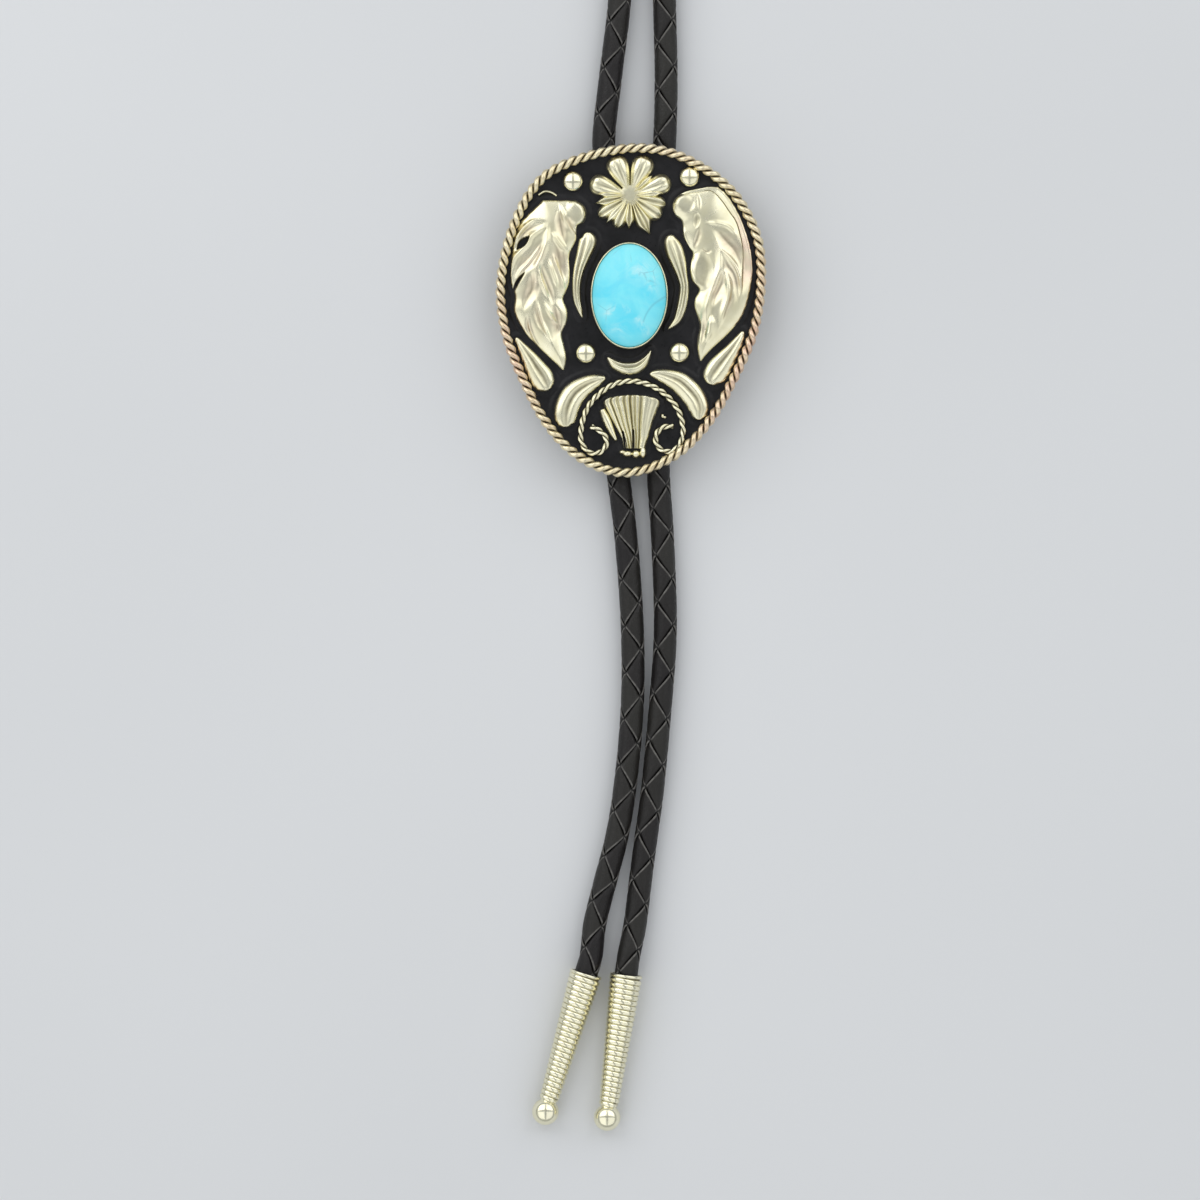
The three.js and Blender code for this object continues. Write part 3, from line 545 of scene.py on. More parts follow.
def make_cord():
    """Each strand's rows lie along its crossings, where it dips under the strands that cross it."""
    route = cord_route()
    length = run_lengths(route)[-1]
    line = even(route, ROUTE_ROWS)
    along = np.linspace(0, length, len(line))
    forward = directions(line)
    side = unit(np.cross(forward, [0, 0, 1]))
    up = np.cross(side, forward)

    def placed(phase, angle, radius):
        """Points round the route: how far along it in braid turns, which way out, how far out."""
        at = phase / (2 * math.pi) * BRAID_PITCH

        def on(table):
            return np.stack([np.interp(at, along, table[:, k]) for k in range(3)], -1)

        return (on(line) + (radius * np.cos(angle))[..., None] * on(side)
                + (radius * np.sin(angle))[..., None] * on(up))

    quarter, last = math.pi / 2, 2 * math.pi * length / BRAID_PITCH
    share = np.array([-v for v in STRAND_HALF[:0:-1]] + STRAND_HALF + STRAND_INSIDE)
    across = quarter * share
    is_outside = np.arange(len(share)) < len(share) - len(STRAND_INSIDE)
    stations = np.array([-v for v in OVER_HALF[::-1]] + OVER_HALF + UNDER)
    random = np.random.default_rng(7)
    shell = Shell()
    for way in (1, -1):
        for start in (0.0, math.pi):
            turned = start + (0 if way > 0 else quarter)
            first_over = 0.0 if (start == 0) == (way > 0) else math.pi
            turns = np.arange(-int(last / math.pi) - 3, int(last / math.pi) + 3)
            crossing = (first_over + 2 * math.pi * turns[:, None] + stations).ravel()
            local = np.tile(stations, len(turns))
            shade = np.repeat(random.random(len(turns)), len(stations))
            middle = way * (crossing - start + way * quarter) / 2
            kept = np.flatnonzero((middle > 0) & (middle < last))
            kept = kept[np.argsort(middle[kept])]
            crossing, local, shade = crossing[kept, None], local[kept, None], shade[kept, None]
            phase = np.clip(way * (crossing - across - start + way * quarter) / 2, 0, last)
            margin = quarter - np.abs(local) + 0 * across
            tuck = 1 - smooth_step(margin, -0.05, 0.36)
            edge_fall = 0.10 * smooth_step(np.abs(share), 0.93, 0.99) ** 2
            radius = CORD_DIAMETER / 2 - STRAND_TUCK * tuck - edge_fall
            radius = np.where(is_outside, radius, radius - STRAND_THICK)
            light = smooth_step(np.abs(share), 0.86, 0.92) * is_outside * (margin > 0.04)
            # dark is painted shade: where a strand dives under its neighbours, and over all of its
            # inner face.
            dark = np.where(is_outside, 1 - smooth_step(margin, 0.04, 0.22), 1.0)
            shell.add_tube(placed(phase, way * phase + across + turned, radius), edge=light,
                           groove=dark, shade=shade + 0 * across)
    around = round_turn(CORE_SIDES)
    phase = np.linspace(0, last, CORE_ROWS)[:, None] + 0 * around
    # The core is painted fully dark, as painted shade seen through the gaps in the braid.
    shell.add_tube(placed(phase, around + 0 * phase, CORE_RADIUS + 0 * phase), groove=1.0)
    cord = mesh_object("braided_cord", shell, LEATHER, "cord")
    exit_at, _ = tip_axis("tip_left")
    return cord, even(route, PATH_ROWS), length, exit_at


# Slide outline: shares of the half width and half height, anticlockwise from the right

OUTLINE = [(1, 0.17), (0.969, 0.446), (0.8, 0.707), (0.514, 0.897), (0.154, 0.999),
           (-0.292, 0.961), (-0.686, 0.809), (-0.902, 0.518), (-1, 0.157), (-0.963, -0.134),
           (-0.831, -0.423), (-0.634, -0.712), (-0.382, -0.909), (-0.025, -0.999),
           (0.351, -0.887), (0.603, -0.685), (0.782, -0.438), (0.942, -0.134)]


def outline_line():
    line = dense_curve(OUTLINE, closed=True, steps=60)
    low, high = line.min(0), line.max(0)
    return (line - (low + high) / 2) / (high - low) * 2 * HALF


EDGE = outline_line()


def edge_ring(count, inset=0.0):
    line = even(EDGE, count, closed=True)
    towards = directions(line, closed=True)
    outward = np.column_stack([towards[:, 1], -towards[:, 0]])
    return line - outward * inset


def on_field(rows):
    return np.asarray(rows, float) * HALF


# Plate: a metal back with a rounded edge and the black field that the ornament stands on

PLATE_SIDES, PLATE_FLAT = 240, 6.0
FIELD_AROUND, FIELD_INWARDS, FIELD_MIDDLE = 480, 110, np.array([0.0, -1.0])
FIELD_DROP, FIELD_LIFT, RIM_LIFT = 0.22, 0.34, 0.25
FIELD_INSET = PLATE_SETBACK + 0.35


def make_plate():
    top = PLATE_TOP - 0.25
    rows = [(PLATE_FLAT, PLATE_BOTTOM, 0.1), (PLATE_SETBACK + 0.3, PLATE_BOTTOM, 0.1),
            (PLATE_SETBACK + 0.06, PLATE_BOTTOM + 0.08, 0), (PLATE_SETBACK, PLATE_BOTTOM + 0.3, 0),
            (PLATE_SETBACK, top - 0.2, 0), (PLATE_SETBACK + 0.1, top - 0.04, 0),
            (PLATE_SETBACK + 0.35, top, 0.2), (PLATE_FLAT, top, 0.2)]
    points = np.array([raised(edge_ring(PLATE_SIDES, inset), z) for inset, z, _ in rows])
    shell = Shell().add_tube(points, groove=np.repeat([dark for _, _, dark in rows], PLATE_SIDES))
    mesh_object("plate_metal", shell, BACK_METAL, "plate")


def make_field(skirts):
    """The enamel stands up a little round each ornament and against the rope."""
    border = edge_ring(FIELD_AROUND, FIELD_INSET)
    shares = np.linspace(1, 0, FIELD_INWARDS, endpoint=False)
    flat = FIELD_MIDDLE + (border - FIELD_MIDDLE)[None] * shares[:, None, None]
    points = flat.reshape(-1, 2)
    near = np.minimum.reduce([distance_to(points, line) for line in skirts])
    half_across = np.linalg.norm(border - FIELD_MIDDLE, axis=1).mean()
    from_rim = (1 - shares).repeat(FIELD_AROUND) * half_across
    lift = np.maximum(FIELD_LIFT * smooth_step(near, 1.25, 0.90), RIM_LIFT * bell(from_rim, 1.6))
    rings = np.column_stack([points, PLATE_TOP - FIELD_DROP + lift])
    bottom = raised(border, PLATE_TOP - SKIRT)
    rings = np.concatenate([bottom, rings]).reshape(FIELD_INWARDS + 1, FIELD_AROUND, 3)
    mesh_object("enamel_field", Shell().add_tube(rings), ENAMEL, "plate")


# Twisted ropes: two round wires wound round each other

ROPE_STEPS, RIM_SIDES, LASSO_SIDES, RIM_POINTS = 16, 10, 9, 1440
ROPE_WIRE, ROPE_SWING, ROPE_FLAT, ROPE_RISE = 0.545, 0.455, 0.92, 0.70


def twisted_rope(name, line, closed, turns, diameter, sides, look, warm=None):
    count = int(round(turns * ROPE_STEPS))
    line = even(line, count, closed)
    share = np.arange(count) / (count if closed else count - 1)
    flat_forward = directions(line, closed)
    side = np.column_stack([flat_forward[:, 1], -flat_forward[:, 0], np.zeros(count)])
    up = np.array([0.0, 0.0, 1.0])
    radius = diameter / 2
    wire, swing = ROPE_WIRE * radius, ROPE_SWING * radius
    centre = raised(line, PLATE_TOP + ROPE_RISE * radius)
    section = round_turn(sides)
    shell = Shell()
    for start in (0.0, math.pi):
        turn = (2 * math.pi * turns * share + start)[:, None]
        outward = np.cos(turn) * side + np.sin(turn) * up
        strand = centre + swing * outward
        forward = directions(strand, closed)
        first = unit(outward - (outward * forward).sum(1, keepdims=True) * forward)
        second = np.cross(forward, first)
        rings = (strand[:, None] + wire * np.cos(section)[None, :, None] * first[:, None]
                 + ROPE_FLAT * wire * np.sin(section)[None, :, None] * second[:, None])
        # Each wire is painted darker on its side towards the other wire: painted shade in the
        # twist.
        inside = smooth_step(-np.cos(section), -0.35, 0.35)
        values = {"groove": np.broadcast_to(inside, (count, sides))}
        if warm is not None:
            values["warm"] = np.broadcast_to(warm(line)[:, None], (count, sides))
        shell.add_tube(rings, closed, **values)
    mesh_object(name + "_twisted", shell, look, name)


# Where the rim is coppery: direction and spread in degrees, and strength
COPPERY = [(-12, 32, 1.0), (200, 26, 0.9), (-50, 18, 0.6), (75, 14, 0.25)]


def coppery(line):
    angle = np.degrees(np.arctan2(line[:, 1], line[:, 0]))
    amount = np.zeros(len(line))
    for at, spread, strength in COPPERY:
        amount += strength * bell((angle - at + 180) % 360 - 180, spread)
    return np.clip(amount, 0, 1)


LASSO = [(-0.294, -0.692), (-0.24, -0.714), (-0.198, -0.744), (-0.178, -0.783), (-0.193, -0.822),
         (-0.242, -0.852), (-0.3, -0.85), (-0.348, -0.815), (-0.37, -0.765), (-0.366, -0.705),
         (-0.352, -0.649), (-0.309, -0.568), (-0.213, -0.484), (-0.102, -0.435), (0.024, -0.423),
         (0.145, -0.448), (0.256, -0.504), (0.345, -0.592), (0.385, -0.699), (0.38, -0.753),
         (0.36, -0.798), (0.323, -0.831), (0.271, -0.843), (0.219, -0.829), (0.188, -0.795),
         (0.184, -0.753), (0.21, -0.714), (0.256, -0.694), (0.312, -0.692)]


# Stone and bezel

STONE_SIDES, STONE_ROWS, BEZEL_SIDES = 200, 90, 160
STONE_WALL, STONE_DOME = 1.8, 3.4
# Rows round the bezel's wall: how far in, how high, and how dark, as painted shade at its foot and
# on its inner face against the stone
BEZEL_ROWS = [(0, -SUNK, 0.9), (0, 1.5, 0.45), (0.03, 2.1, 0.3), (0.10, 2.42, 0.1),
              (0.22, 2.58, 0), (0.34, 2.58, 0), (0.40, 2.4, 0.6), (0.40, 1.9, 1),
              (BEZEL_WALL, 1.2, 1), (BEZEL_WALL, -SUNK, 1)]
# Pale bands and spots and one fine vein, in shares of the stone's half sizes
MILK_BAND = [(-0.62, -0.36), (-0.4, -0.27), (-0.16, -0.24), (0.08, -0.34), (0.28, -0.52),
             (0.46, -0.7)]
MILK_SPOTS = [(0.25, 0.5, 0.34, 0.15), (-0.25, -0.62, 0.25, 0.12), (0.62, 0.22, 0.15, 0.22)]
VEIN = [(0.98, -0.02), (0.8, -0.1), (0.62, -0.2), (0.46, -0.36), (0.38, -0.5)]


def oval(count, half):
    angle = round_turn(count)
    return SETTING + half * np.column_stack([np.cos(angle), np.sin(angle)])


def make_bezel():
    """The wall's top is a little wavy, as it is pressed on by hand."""
    angle = round_turn(BEZEL_SIDES)
    wave = 0.05 * np.sin(9 * angle) + 0.035 * np.sin(17 * angle + 1.0)
    rings = [np.column_stack([oval(BEZEL_SIDES, SETTING_HALF - inset),
                              PLATE_TOP + z + wave * (z > 1.8)]) for inset, z, _ in BEZEL_ROWS]
    groove = np.repeat([dark for _, _, dark in BEZEL_ROWS], BEZEL_SIDES)
    shell = Shell().add_tube(np.array(rings), True, groove=groove)
    mesh_object("bezel_rim", shell, SILVER, "bezel")


def make_stone():
    half = SETTING_HALF - BEZEL_WALL + 0.02
    tilt = np.linspace(0, math.pi / 2, STONE_ROWS)
    profile = [(1.0, 0.0)] + [(math.cos(t), STONE_WALL + STONE_DOME * math.sin(t)) for t in tilt]
    rings = np.array([raised(oval(STONE_SIDES, half * max(reach, 0.004)), PLATE_TOP + z)
                      for reach, z in profile])
    flat = ((rings[..., :2] - SETTING) / half).reshape(-1, 2)
    band = bell(nearest_on(flat, MILK_BAND, 5)[0], 0.085)
    for centre_x, centre_y, half_x, half_y in MILK_SPOTS:
        spot = ((flat[:, 0] - centre_x) / half_x) ** 2 + ((flat[:, 1] - centre_y) / half_y) ** 2
        band = np.maximum(band, 0.85 * np.exp(-spot))
    vein = 0.4 * bell(nearest_on(flat, VEIN)[0], 0.022)
    shell = Shell().add_tube(rings, milk=band, vein=vein)
    mesh_object("turquoise_stone", shell, TURQUOISE, "stone")


# Domes: beads, and the lumps of the fan's knot

BEADS = [(-0.428, 0.77), (0.433, 0.797), (-0.332, -0.256), (0.357, -0.252)]
BEAD_RADIUS, BEAD_HEIGHT, BEAD_WALL, BEAD_ROWS = 2.45, 1.9, 0.25, 20


def dome(shell, centre, half, wall, height, rows, sides, groove, pole_gap):
    """A round or oval lump on the plate: a low wall, then a dome of that height over it, with
    groove painting shade at its foot.
    """
    tilt = np.linspace(0, math.pi / 2 - pole_gap, rows)
    profile = [(1.0, -SUNK)] + [(math.cos(t), wall + height * math.sin(t)) for t in tilt]
    centre, scale = np.append(centre, PLATE_TOP), np.append(half, 1.0)
    shell.lathe(profile, lambda points: centre + points * scale, sides,
                groove=groove + [0.0] * (len(profile) - len(groove)))


def make_bead(number, place):
    shell = Shell()
    dome(shell, on_field(place), [BEAD_RADIUS] * 2, BEAD_WALL, BEAD_HEIGHT - BEAD_WALL, BEAD_ROWS,
         40, [1.0, 0.85, 0.5, 0.2], 0.03)
    name = f"bead_{number}"
    mesh_object(name + "_dome", shell, BEAD_METAL, name)


# Flower: each petal by its direction in degrees, reach, width, ridges, and how pointed it is

FLOWER = np.array([-0.006, 0.685]) * HALF
PETALS = [(67, 10.3, 5.5, 1, 0), (42, 7.4, 1.6, 1, 1), (20, 10.4, 5, 1, 0), (4, 7.9, 2, 1, 1),
          (346, 8.8, 3.3, 2, 0), (325, 9, 4.2, 2, 0), (297, 10.4, 4, 3, 1), (268, 8, 2.9, 2, 1),
          (247, 8.4, 3.4, 2, 0), (229, 8.7, 2.6, 1, 1), (213, 9, 3.4, 2, 0),
          (193, 8.6, 2.8, 2, 1), (178, 7.8, 1.8, 1, 1), (161, 10.2, 5.1, 1, 0),
          (113, 10.2, 5.5, 1, 0)]
PETAL_START, PETAL_ROWS, PETAL_COLUMNS = 1.3, 40, 25
PETAL_EDGE, PETAL_RISE, PETAL_RIDGE = 0.55, 1.3, 0.58
# The flower's middle: radius, height and darkness, which is painted shade: full at its foot, half
# up its wall and a little on its flat top
DISC = [(2.6, -SUNK, 1), (2.6, 0.5, 0.5), (2.2, 0.62, 0.22), (1.2, 0.62, 0.16), (0.02, 0.62, 0.16)]


def make_flower():
    shell = Shell()
    u = np.linspace(0, 1, PETAL_ROWS)[:, None]
    v = np.linspace(-1, 1, PETAL_COLUMNS)[None]
    for towards, reach, width, ridges, pointed in PETALS:
        angle = math.radians(towards)
        grown = 0.13 + 0.87 * smooth_step(u, -0.2, 0.74)
        if pointed:
            end = 1 - smooth_step(u, 0.62, 1.02) * 0.93
        else:
            end = rounded((1.002 - u) / 0.262, 0.001)
        half = width / 2 * grown * end
        along = PETAL_START + (reach - PETAL_START) * u + 0 * v
        across = half * v
        belly = (1 - np.abs(v) ** 2.6) ** 0.6
        body = PETAL_EDGE + PETAL_RISE * np.sin(math.pi * np.clip(0.04 + 0.72 * u, 0, 1))
        body = body * belly * rounded((1.004 - u) / 0.204)
        # dark is oxide and painted shade along each petal's dents and furrows.
        if ridges == 1:
            dent = 0.30 * bell(v, 0.20) * np.sin(math.pi * u ** 0.8)
            dark = 0.55 * bell(v, 0.16) * np.sin(math.pi * u)
            rim = np.minimum(half * (1 - np.abs(v)), (1 - u) * (reach - PETAL_START)) / 0.75
            dent = dent + 0.28 * (1 - pointed) * smooth_step(rim, 1.15, 0.85)
            dark = np.maximum(dark, 0.6 * (1 - pointed) * bell(rim - 1, 0.25)
                              * smooth_step(u, 0.5, 0.7))
        else:
            waves = 0.5 - 0.5 * np.cos(math.pi * (ridges * v + ridges % 2 + 1))
            dent = PETAL_RIDGE * waves * (u > 0.05)
            dark = 0.92 * (dent / PETAL_RIDGE) ** 2.4 * (1 - 0.3 * u)
        z = PLATE_TOP + np.maximum(body - dent * belly, 0.02)
        # Painted shade on each petal's side walls and where it starts at the middle.
        dark = np.maximum(dark, smooth_step(np.abs(v) + 0 * u, 0.93, 1.0) * 0.8)
        dark = np.maximum(dark, smooth_step(0.2 - u + 0 * v, 0.0, 0.2) * 0.35)
        x = FLOWER[0] + along * math.cos(angle) - across * math.sin(angle)
        y = FLOWER[1] + along * math.sin(angle) + across * math.cos(angle)
        shell.add_relief(np.stack([x, y, z], -1), dark)
    shell.lathe([row[:2] for row in DISC], lambda points: np.append(FLOWER, PLATE_TOP) + points,
                32, groove=[dark for _, _, dark in DISC])
    mesh_object("flower_petals", shell, SILVER, "flower")


# Leaves: edges from the top down as (along, left, right) shares, then the lines on the relief

LEAF_LEFT = [(0.658, -0.648, -0.405), (0.622, -0.696, -0.342), (0.568, -0.767, -0.327),
             (0.526, -0.815, -0.346), (0.496, -0.833, -0.396), (0.424, -0.864, -0.402),
             (0.329, -0.882, -0.452), (0.233, -0.891, -0.45), (0.161, -0.886, -0.455),
             (0.108, -0.861, -0.479), (0.072, -0.855, -0.498), (0, -0.863, -0.469),
             (-0.066, -0.833, -0.47), (-0.132, -0.781, -0.507), (-0.209, -0.696, -0.49),
             (-0.281, -0.604, -0.475), (-0.335, -0.533, -0.484), (-0.358, -0.507, -0.494)]
LEAF_RIGHT = [(0.738, 0.57, 0.64), (0.705, 0.393, 0.692), (0.664, 0.323, 0.733),
              (0.616, 0.306, 0.769), (0.568, 0.326, 0.801), (0.532, 0.374, 0.82),
              (0.448, 0.387, 0.857), (0.377, 0.428, 0.88), (0.341, 0.456, 0.888),
              (0.287, 0.442, 0.895), (0.233, 0.436, 0.898), (0.173, 0.452, 0.891),
              (0.123, 0.502, 0.882), (0.072, 0.472, 0.869), (0.024, 0.467, 0.852),
              (-0.042, 0.491, 0.817), (-0.102, 0.506, 0.762), (-0.167, 0.49, 0.685),
              (-0.233, 0.489, 0.596), (-0.282, 0.5, 0.54), (-0.304, 0.509, 0.522)]
# Each valley and ridge: how wide it is, and its line in millimetres
LEFT_VALLEYS = [
    (0.8, [(-20.5, 20.8), (-22.9, 20.1), (-25.1, 18.8), (-26.7, 16.6), (-27.7, 14)]),
    (1.4, [(-20.2, 17.9), (-21.5, 15.1), (-22.8, 13.1), (-25, 11.3), (-27, 9), (-27.6, 7)]),
    (1.3, [(-22.6, 11.3), (-23.2, 8.1), (-23.6, 5.2), (-25, 2.3), (-25.8, -0.6)]),
    (0.8, [(-21.8, 12.8), (-21.2, 9.3), (-20, 6.1), (-18.9, 3.2), (-18, -0.3)]),
    (0.8, [(-22.6, 3.2), (-22.6, 0.3), (-21.5, -3.5), (-20, -6.7)]),
    (1.1, [(-18.9, 2.3), (-18, -0.6), (-17.7, -4.1), (-18.6, -7.3)]),
    (1.4, [(-19, 17.7), (-17.7, 14.5), (-17.1, 11.6), (-16.5, 8.1), (-16.2, 4.6)]),
    (0.9, [(-17, 25.2), (-17, 21.8), (-16.5, 18.6), (-15.4, 15.1)]),
    (0.8, [(-16.2, 23.6), (-14.5, 20.4), (-13, 18)]),
    (0.8, [(-24.4, -0.3), (-24.7, -3.2), (-23.5, -6.4), (-21.8, -9)])]
LEFT_RIDGES = [
    (1.7, [(-19.7, 21), (-20.2, 16.6), (-21.5, 13.1), (-22.6, 10.2), (-22.8, 7), (-22.9, 3.1)]),
    (0.9, [(-20, 21.4), (-23.2, 21.5), (-25.8, 19.6), (-27.4, 17.2), (-28.1, 14)]),
    (1.2, [(-19.3, 20.2), (-21.5, 19.3), (-23.9, 17.7), (-24.7, 16.1), (-26.4, 14.2), (-28, 12.5),
           (-28.7, 9.3), (-28.4, 6.1)]),
    (0.9, [(-20.6, 17.4), (-22.5, 14), (-24.4, 11.6), (-26.7, 9), (-27.4, 6.1)]),
    (0.9, [(-22, 12.5), (-21.9, 8.7), (-20.6, 4.9), (-19.3, 1.9)]),
    (0.9, [(-22.7, 3.5), (-22.2, 0), (-21, -3.8), (-18.7, -8.1)]),
    (0.8, [(-24.5, -0.6), (-24.4, -3.5), (-23.1, -7), (-21.3, -9.6)]),
    (1.1, [(-19, 19), (-17.1, 16), (-14.8, 13.7)]),
    (1, [(-17.1, 25.9), (-16.2, 22.7), (-14.8, 20.1), (-12.9, 17.7)]),
    (0.9, [(-18.9, 14), (-17.7, 10.5), (-16.4, 7), (-15.8, 4)]),
    (0.7, [(-19.9, 12.6), (-18.6, 8.6), (-17.2, 4.4)]),
    (0.7, [(-20.9, 2.2), (-19, -1.5), (-16.9, -4.4)])]
LEFT_CUTS = [([(-27.2, 14.7), (-25.9, 16.2), (-24.5, 17.6)], 0.95),
             ([(-25.5, 9.0), (-27.0, 7.1), (-28.4, 4.2)], 0.5)]
RIGHT_VALLEYS = [
    (0.3, [(15.9, 28.2), (16.4, 25.8), (16.3, 23.6)]),
    (0.6, [(16.6, 20.6), (16.2, 18.1), (15.4, 15.7), (14.8, 14)]),
    (0.3, [(16.9, 14.8), (18.3, 14), (19.5, 14.8)]),
    (1.7, [(19.4, 19.7), (21.1, 18.7), (22.9, 16.6), (25, 14.2), (26, 11.5), (26.4, 8.9)]),
    (1.6, [(21.6, 14), (23, 11), (24.8, 8.4), (25.4, 5), (25, 1.5)]),
    (1.3, [(22.1, 10.3), (21.5, 6.5), (20.2, 3.4), (19.2, 0.4)]),
    (0.6, [(24.2, 6.4), (24.2, 3.4), (23, 0.3), (22.2, -2.8)]),
    (0.6, [(17.6, 0.5), (17.5, -4), (16.8, -8.6)])]
RIGHT_FOLD = [(17.7, 28.5), (18.8, 28.6), (20.2, 27.8), (21.9, 25.9), (23.6, 23.4), (25, 21.4),
              (26, 18.3), (26.7, 14.8), (26.7, 10.5), (26.6, 6.5), (26.3, 2.8)]
RIGHT_RIDGES = [
    (1.9, [(19.2, 19), (21.2, 14.8), (21.5, 10.8), (20.4, 6.8), (18.6, 2.8), (17.7, -1.5),
           (16.9, -6.4), (16.5, -10.7)]),
    (1, [(19.7, 18), (21.4, 14.6), (23.8, 12.3), (25.5, 9.7), (26.3, 6.5), (26.2, 1.8)]),
    (1.5, [(21.8, 11), (23.2, 7.7), (23.4, 3.4), (22.1, -0.9), (20.9, -4.6)]),
    (0.8, [(14.6, 13.5), (14.3, 10.5), (15.1, 7.1), (16.5, 4.8)]),
    (0.7, [(12.5, 20.6), (12.9, 17.2), (14.8, 13.8)]),
    (0.9, [(17.6, 20.9), (20.8, 20.8), (23.5, 19.9), (25.6, 17.4)]),
    (1.6, [(19.2, -0.6), (19, -3.6), (18.1, -8)])]
# Smooth places on the leaves: middle, half sizes, tilt in degrees, height, hollow and dullness, a
# painted shade that also raises the roughness
LEFT_PADS = [(-13.2, 23.2, 2.4, 3.3, 12, 1.5, -0.15, 0.15)]
RIGHT_PADS = [(17.2, 9.4, 2.35, 4.5, -4, 1.1, 0.25, 0.36),
              (12.8, 25.5, 2.5, 2.4, 20, 1.45, -0.15, 0.2),
              (15.7, 21.5, 0.8, 1.8, -8, 1.15, 0.15, 0.45)]
LEAF_ROWS, LEAF_COLUMNS = 230, 96
# How high a leaf's edge and middle are and how far in it rises, and how deep its lines go
LEAF_EDGE, LEAF_BELLY, LEAF_SHOULDER = 0.45, 0.95, 6.0
VALLEY_DEPTH, RIDGE_HEIGHT, FOLD_DROP, CUT_DEPTH = 0.52, 0.50, 0.75, 0.4
LEAF_LOWEST, LEAF_HIGHEST = 0.3, ORNAMENT + 0.55


def leaf_grid(rows, stations, columns):
    """A grid between two edges, with its columns closer together at both sides."""
    line = even(dense_curve(rows), stations)
    flat_share = np.linspace(0, 1, columns)
    share = 0.5 * ((1 - np.cos(math.pi * flat_share)) / 2) + 0.5 * flat_share
    left, right = line[:, 1:2] * HALF[0], line[:, 2:3] * HALF[0]
    x = left + (right - left) * share
    y = np.repeat(line[:, :1] * HALF[1], columns, 1)
    sides = [np.column_stack([left[:, 0], y[:, 0]]), np.column_stack([right[::-1, 0], y[::-1, 0]])]
    return x, y, np.concatenate(sides + [sides[0][:1]])


def blurred(flat, shape, passes):
    """A grid's values with each drawn towards its neighbours, again and again."""
    grid = flat.reshape(shape)
    for _ in range(passes):
        wide = np.pad(grid, 1, "edge")
        grid = (wide[:-2, 1:-1] + wide[2:, 1:-1] + wide[1:-1, :-2] + wide[1:-1, 2:]
                + 2 * wide[1:-1, 1:-1]) / 6
    return grid.ravel()


def make_leaf(name, rows, valleys, ridges, pads, cuts=(), fold=None):
    x, y, border = leaf_grid(rows, LEAF_ROWS, LEAF_COLUMNS)
    points = np.column_stack([x.ravel(), y.ravel()])
    from_edge = distance_to(points, border)
    body = LEAF_EDGE + LEAF_BELLY * (1 - (1 - np.clip(from_edge / LEAF_SHOULDER, 0, 1)) ** 2)
    body += 0.28 * np.clip(from_edge / 1.4, 0, 1) ** 0.7
    fine, groove, warm, crest = np.zeros((4, len(points)))
    for wide, line in valleys:
        away, share, _ = nearest_on(points, line)
        strength = tapered(share, 0.42)
        spread = wide * (0.25 + 0.60 * strength)
        near = bell(away, spread)
        fine = np.minimum(fine, -VALLEY_DEPTH * min(wide, 1.0) * strength * near)
        # Darkened along each valley by oxide in the hollow together with painted shade.
        groove = np.maximum(groove, strength * (0.34 * bell(away, 0.25) + 0.26 * near))
        warm = np.maximum(warm, 0.42 * min(wide, 1.0) * strength * bell(away, 1.6 * spread))
    height = blurred(body, x.shape, 16) + blurred(fine, x.shape, 1)
    for centre_x, centre_y, half_x, half_y, tilt, level, hollow, pad_painted_shade in pads:
        angle = math.radians(tilt)
        off = points - [centre_x, centre_y]
        u = (off[:, 0] * math.cos(angle) + off[:, 1] * math.sin(angle)) / half_x
        v = (off[:, 1] * math.cos(angle) - off[:, 0] * math.sin(angle)) / half_y
        reach = np.hypot(u, v)
        inside = smooth_step(reach, 1.10, 0.55)
        height = height * (1 - inside) + (level + hollow * reach ** 2) * inside
        height += 0.12 * max(hollow, 0) * half_x * bell(reach - 1.04, 0.14)
        # Each pad is evenly darkened and dulled: painted shade.
        groove = np.maximum(groove * (1 - inside), pad_painted_shade * inside)
    for wide, line in ridges:
        away, share, _ = nearest_on(points, line)
        strength = tapered(share, 0.34)
        near = strength * bell(away, 0.48 * wide * (0.35 + 0.65 * strength))
        crest = np.maximum(crest, RIDGE_HEIGHT * min(wide, 1.2) * near)
        # The crests are cleared of that oxide and painted shade.
        groove *= 1 - 0.95 * near
    height += blurred(crest, x.shape, 1)
    if fold is not None:
        away, share, side = nearest_on(points, fold)
        fading = smooth_step(1 - share, 0.0, 0.25)
        outer = smooth_step(away * side, 0.0, 0.22) * fading
        height -= FOLD_DROP * outer * np.clip(height / 1.2, 0.4, 1)
        # A painted shadow line along the foot of the fold.
        groove = np.maximum(groove, 0.8 * fading * bell(away * side - 0.14, 0.14))
        warm = np.maximum(warm * (1 - outer), 0.8 * outer * smooth_step(share, 0.25, 0.45))
    height = np.clip(height, LEAF_LOWEST, LEAF_HIGHEST)
    height *= 0.2 + 0.8 * rounded(from_edge / 0.55)
    for line, half_width in cuts:
        away, share, _ = nearest_on(points, line)
        away = away - half_width * (0.3 + 0.7 * np.sin(math.pi * share))
        inside = smooth_step(away, 0.0, -0.25)
        height = height * (1 - inside) - CUT_DEPTH * inside
        # Painted shade down the walls of each cut.
        groove = np.maximum(groove, smooth_step(away, 0.12, -0.2))
    top = np.column_stack([points, PLATE_TOP + height]).reshape(x.shape + (3,))
    shell = Shell()
    shell.add_relief(top, groove, warm)
    mesh_object(name + "_relief", shell, SILVER, name)
    return border


# Carvings: a name, the widest share of the half width, rows of (across, along, wide), and the
# grooves along it as (place across from -1 to 1, depth, spread)

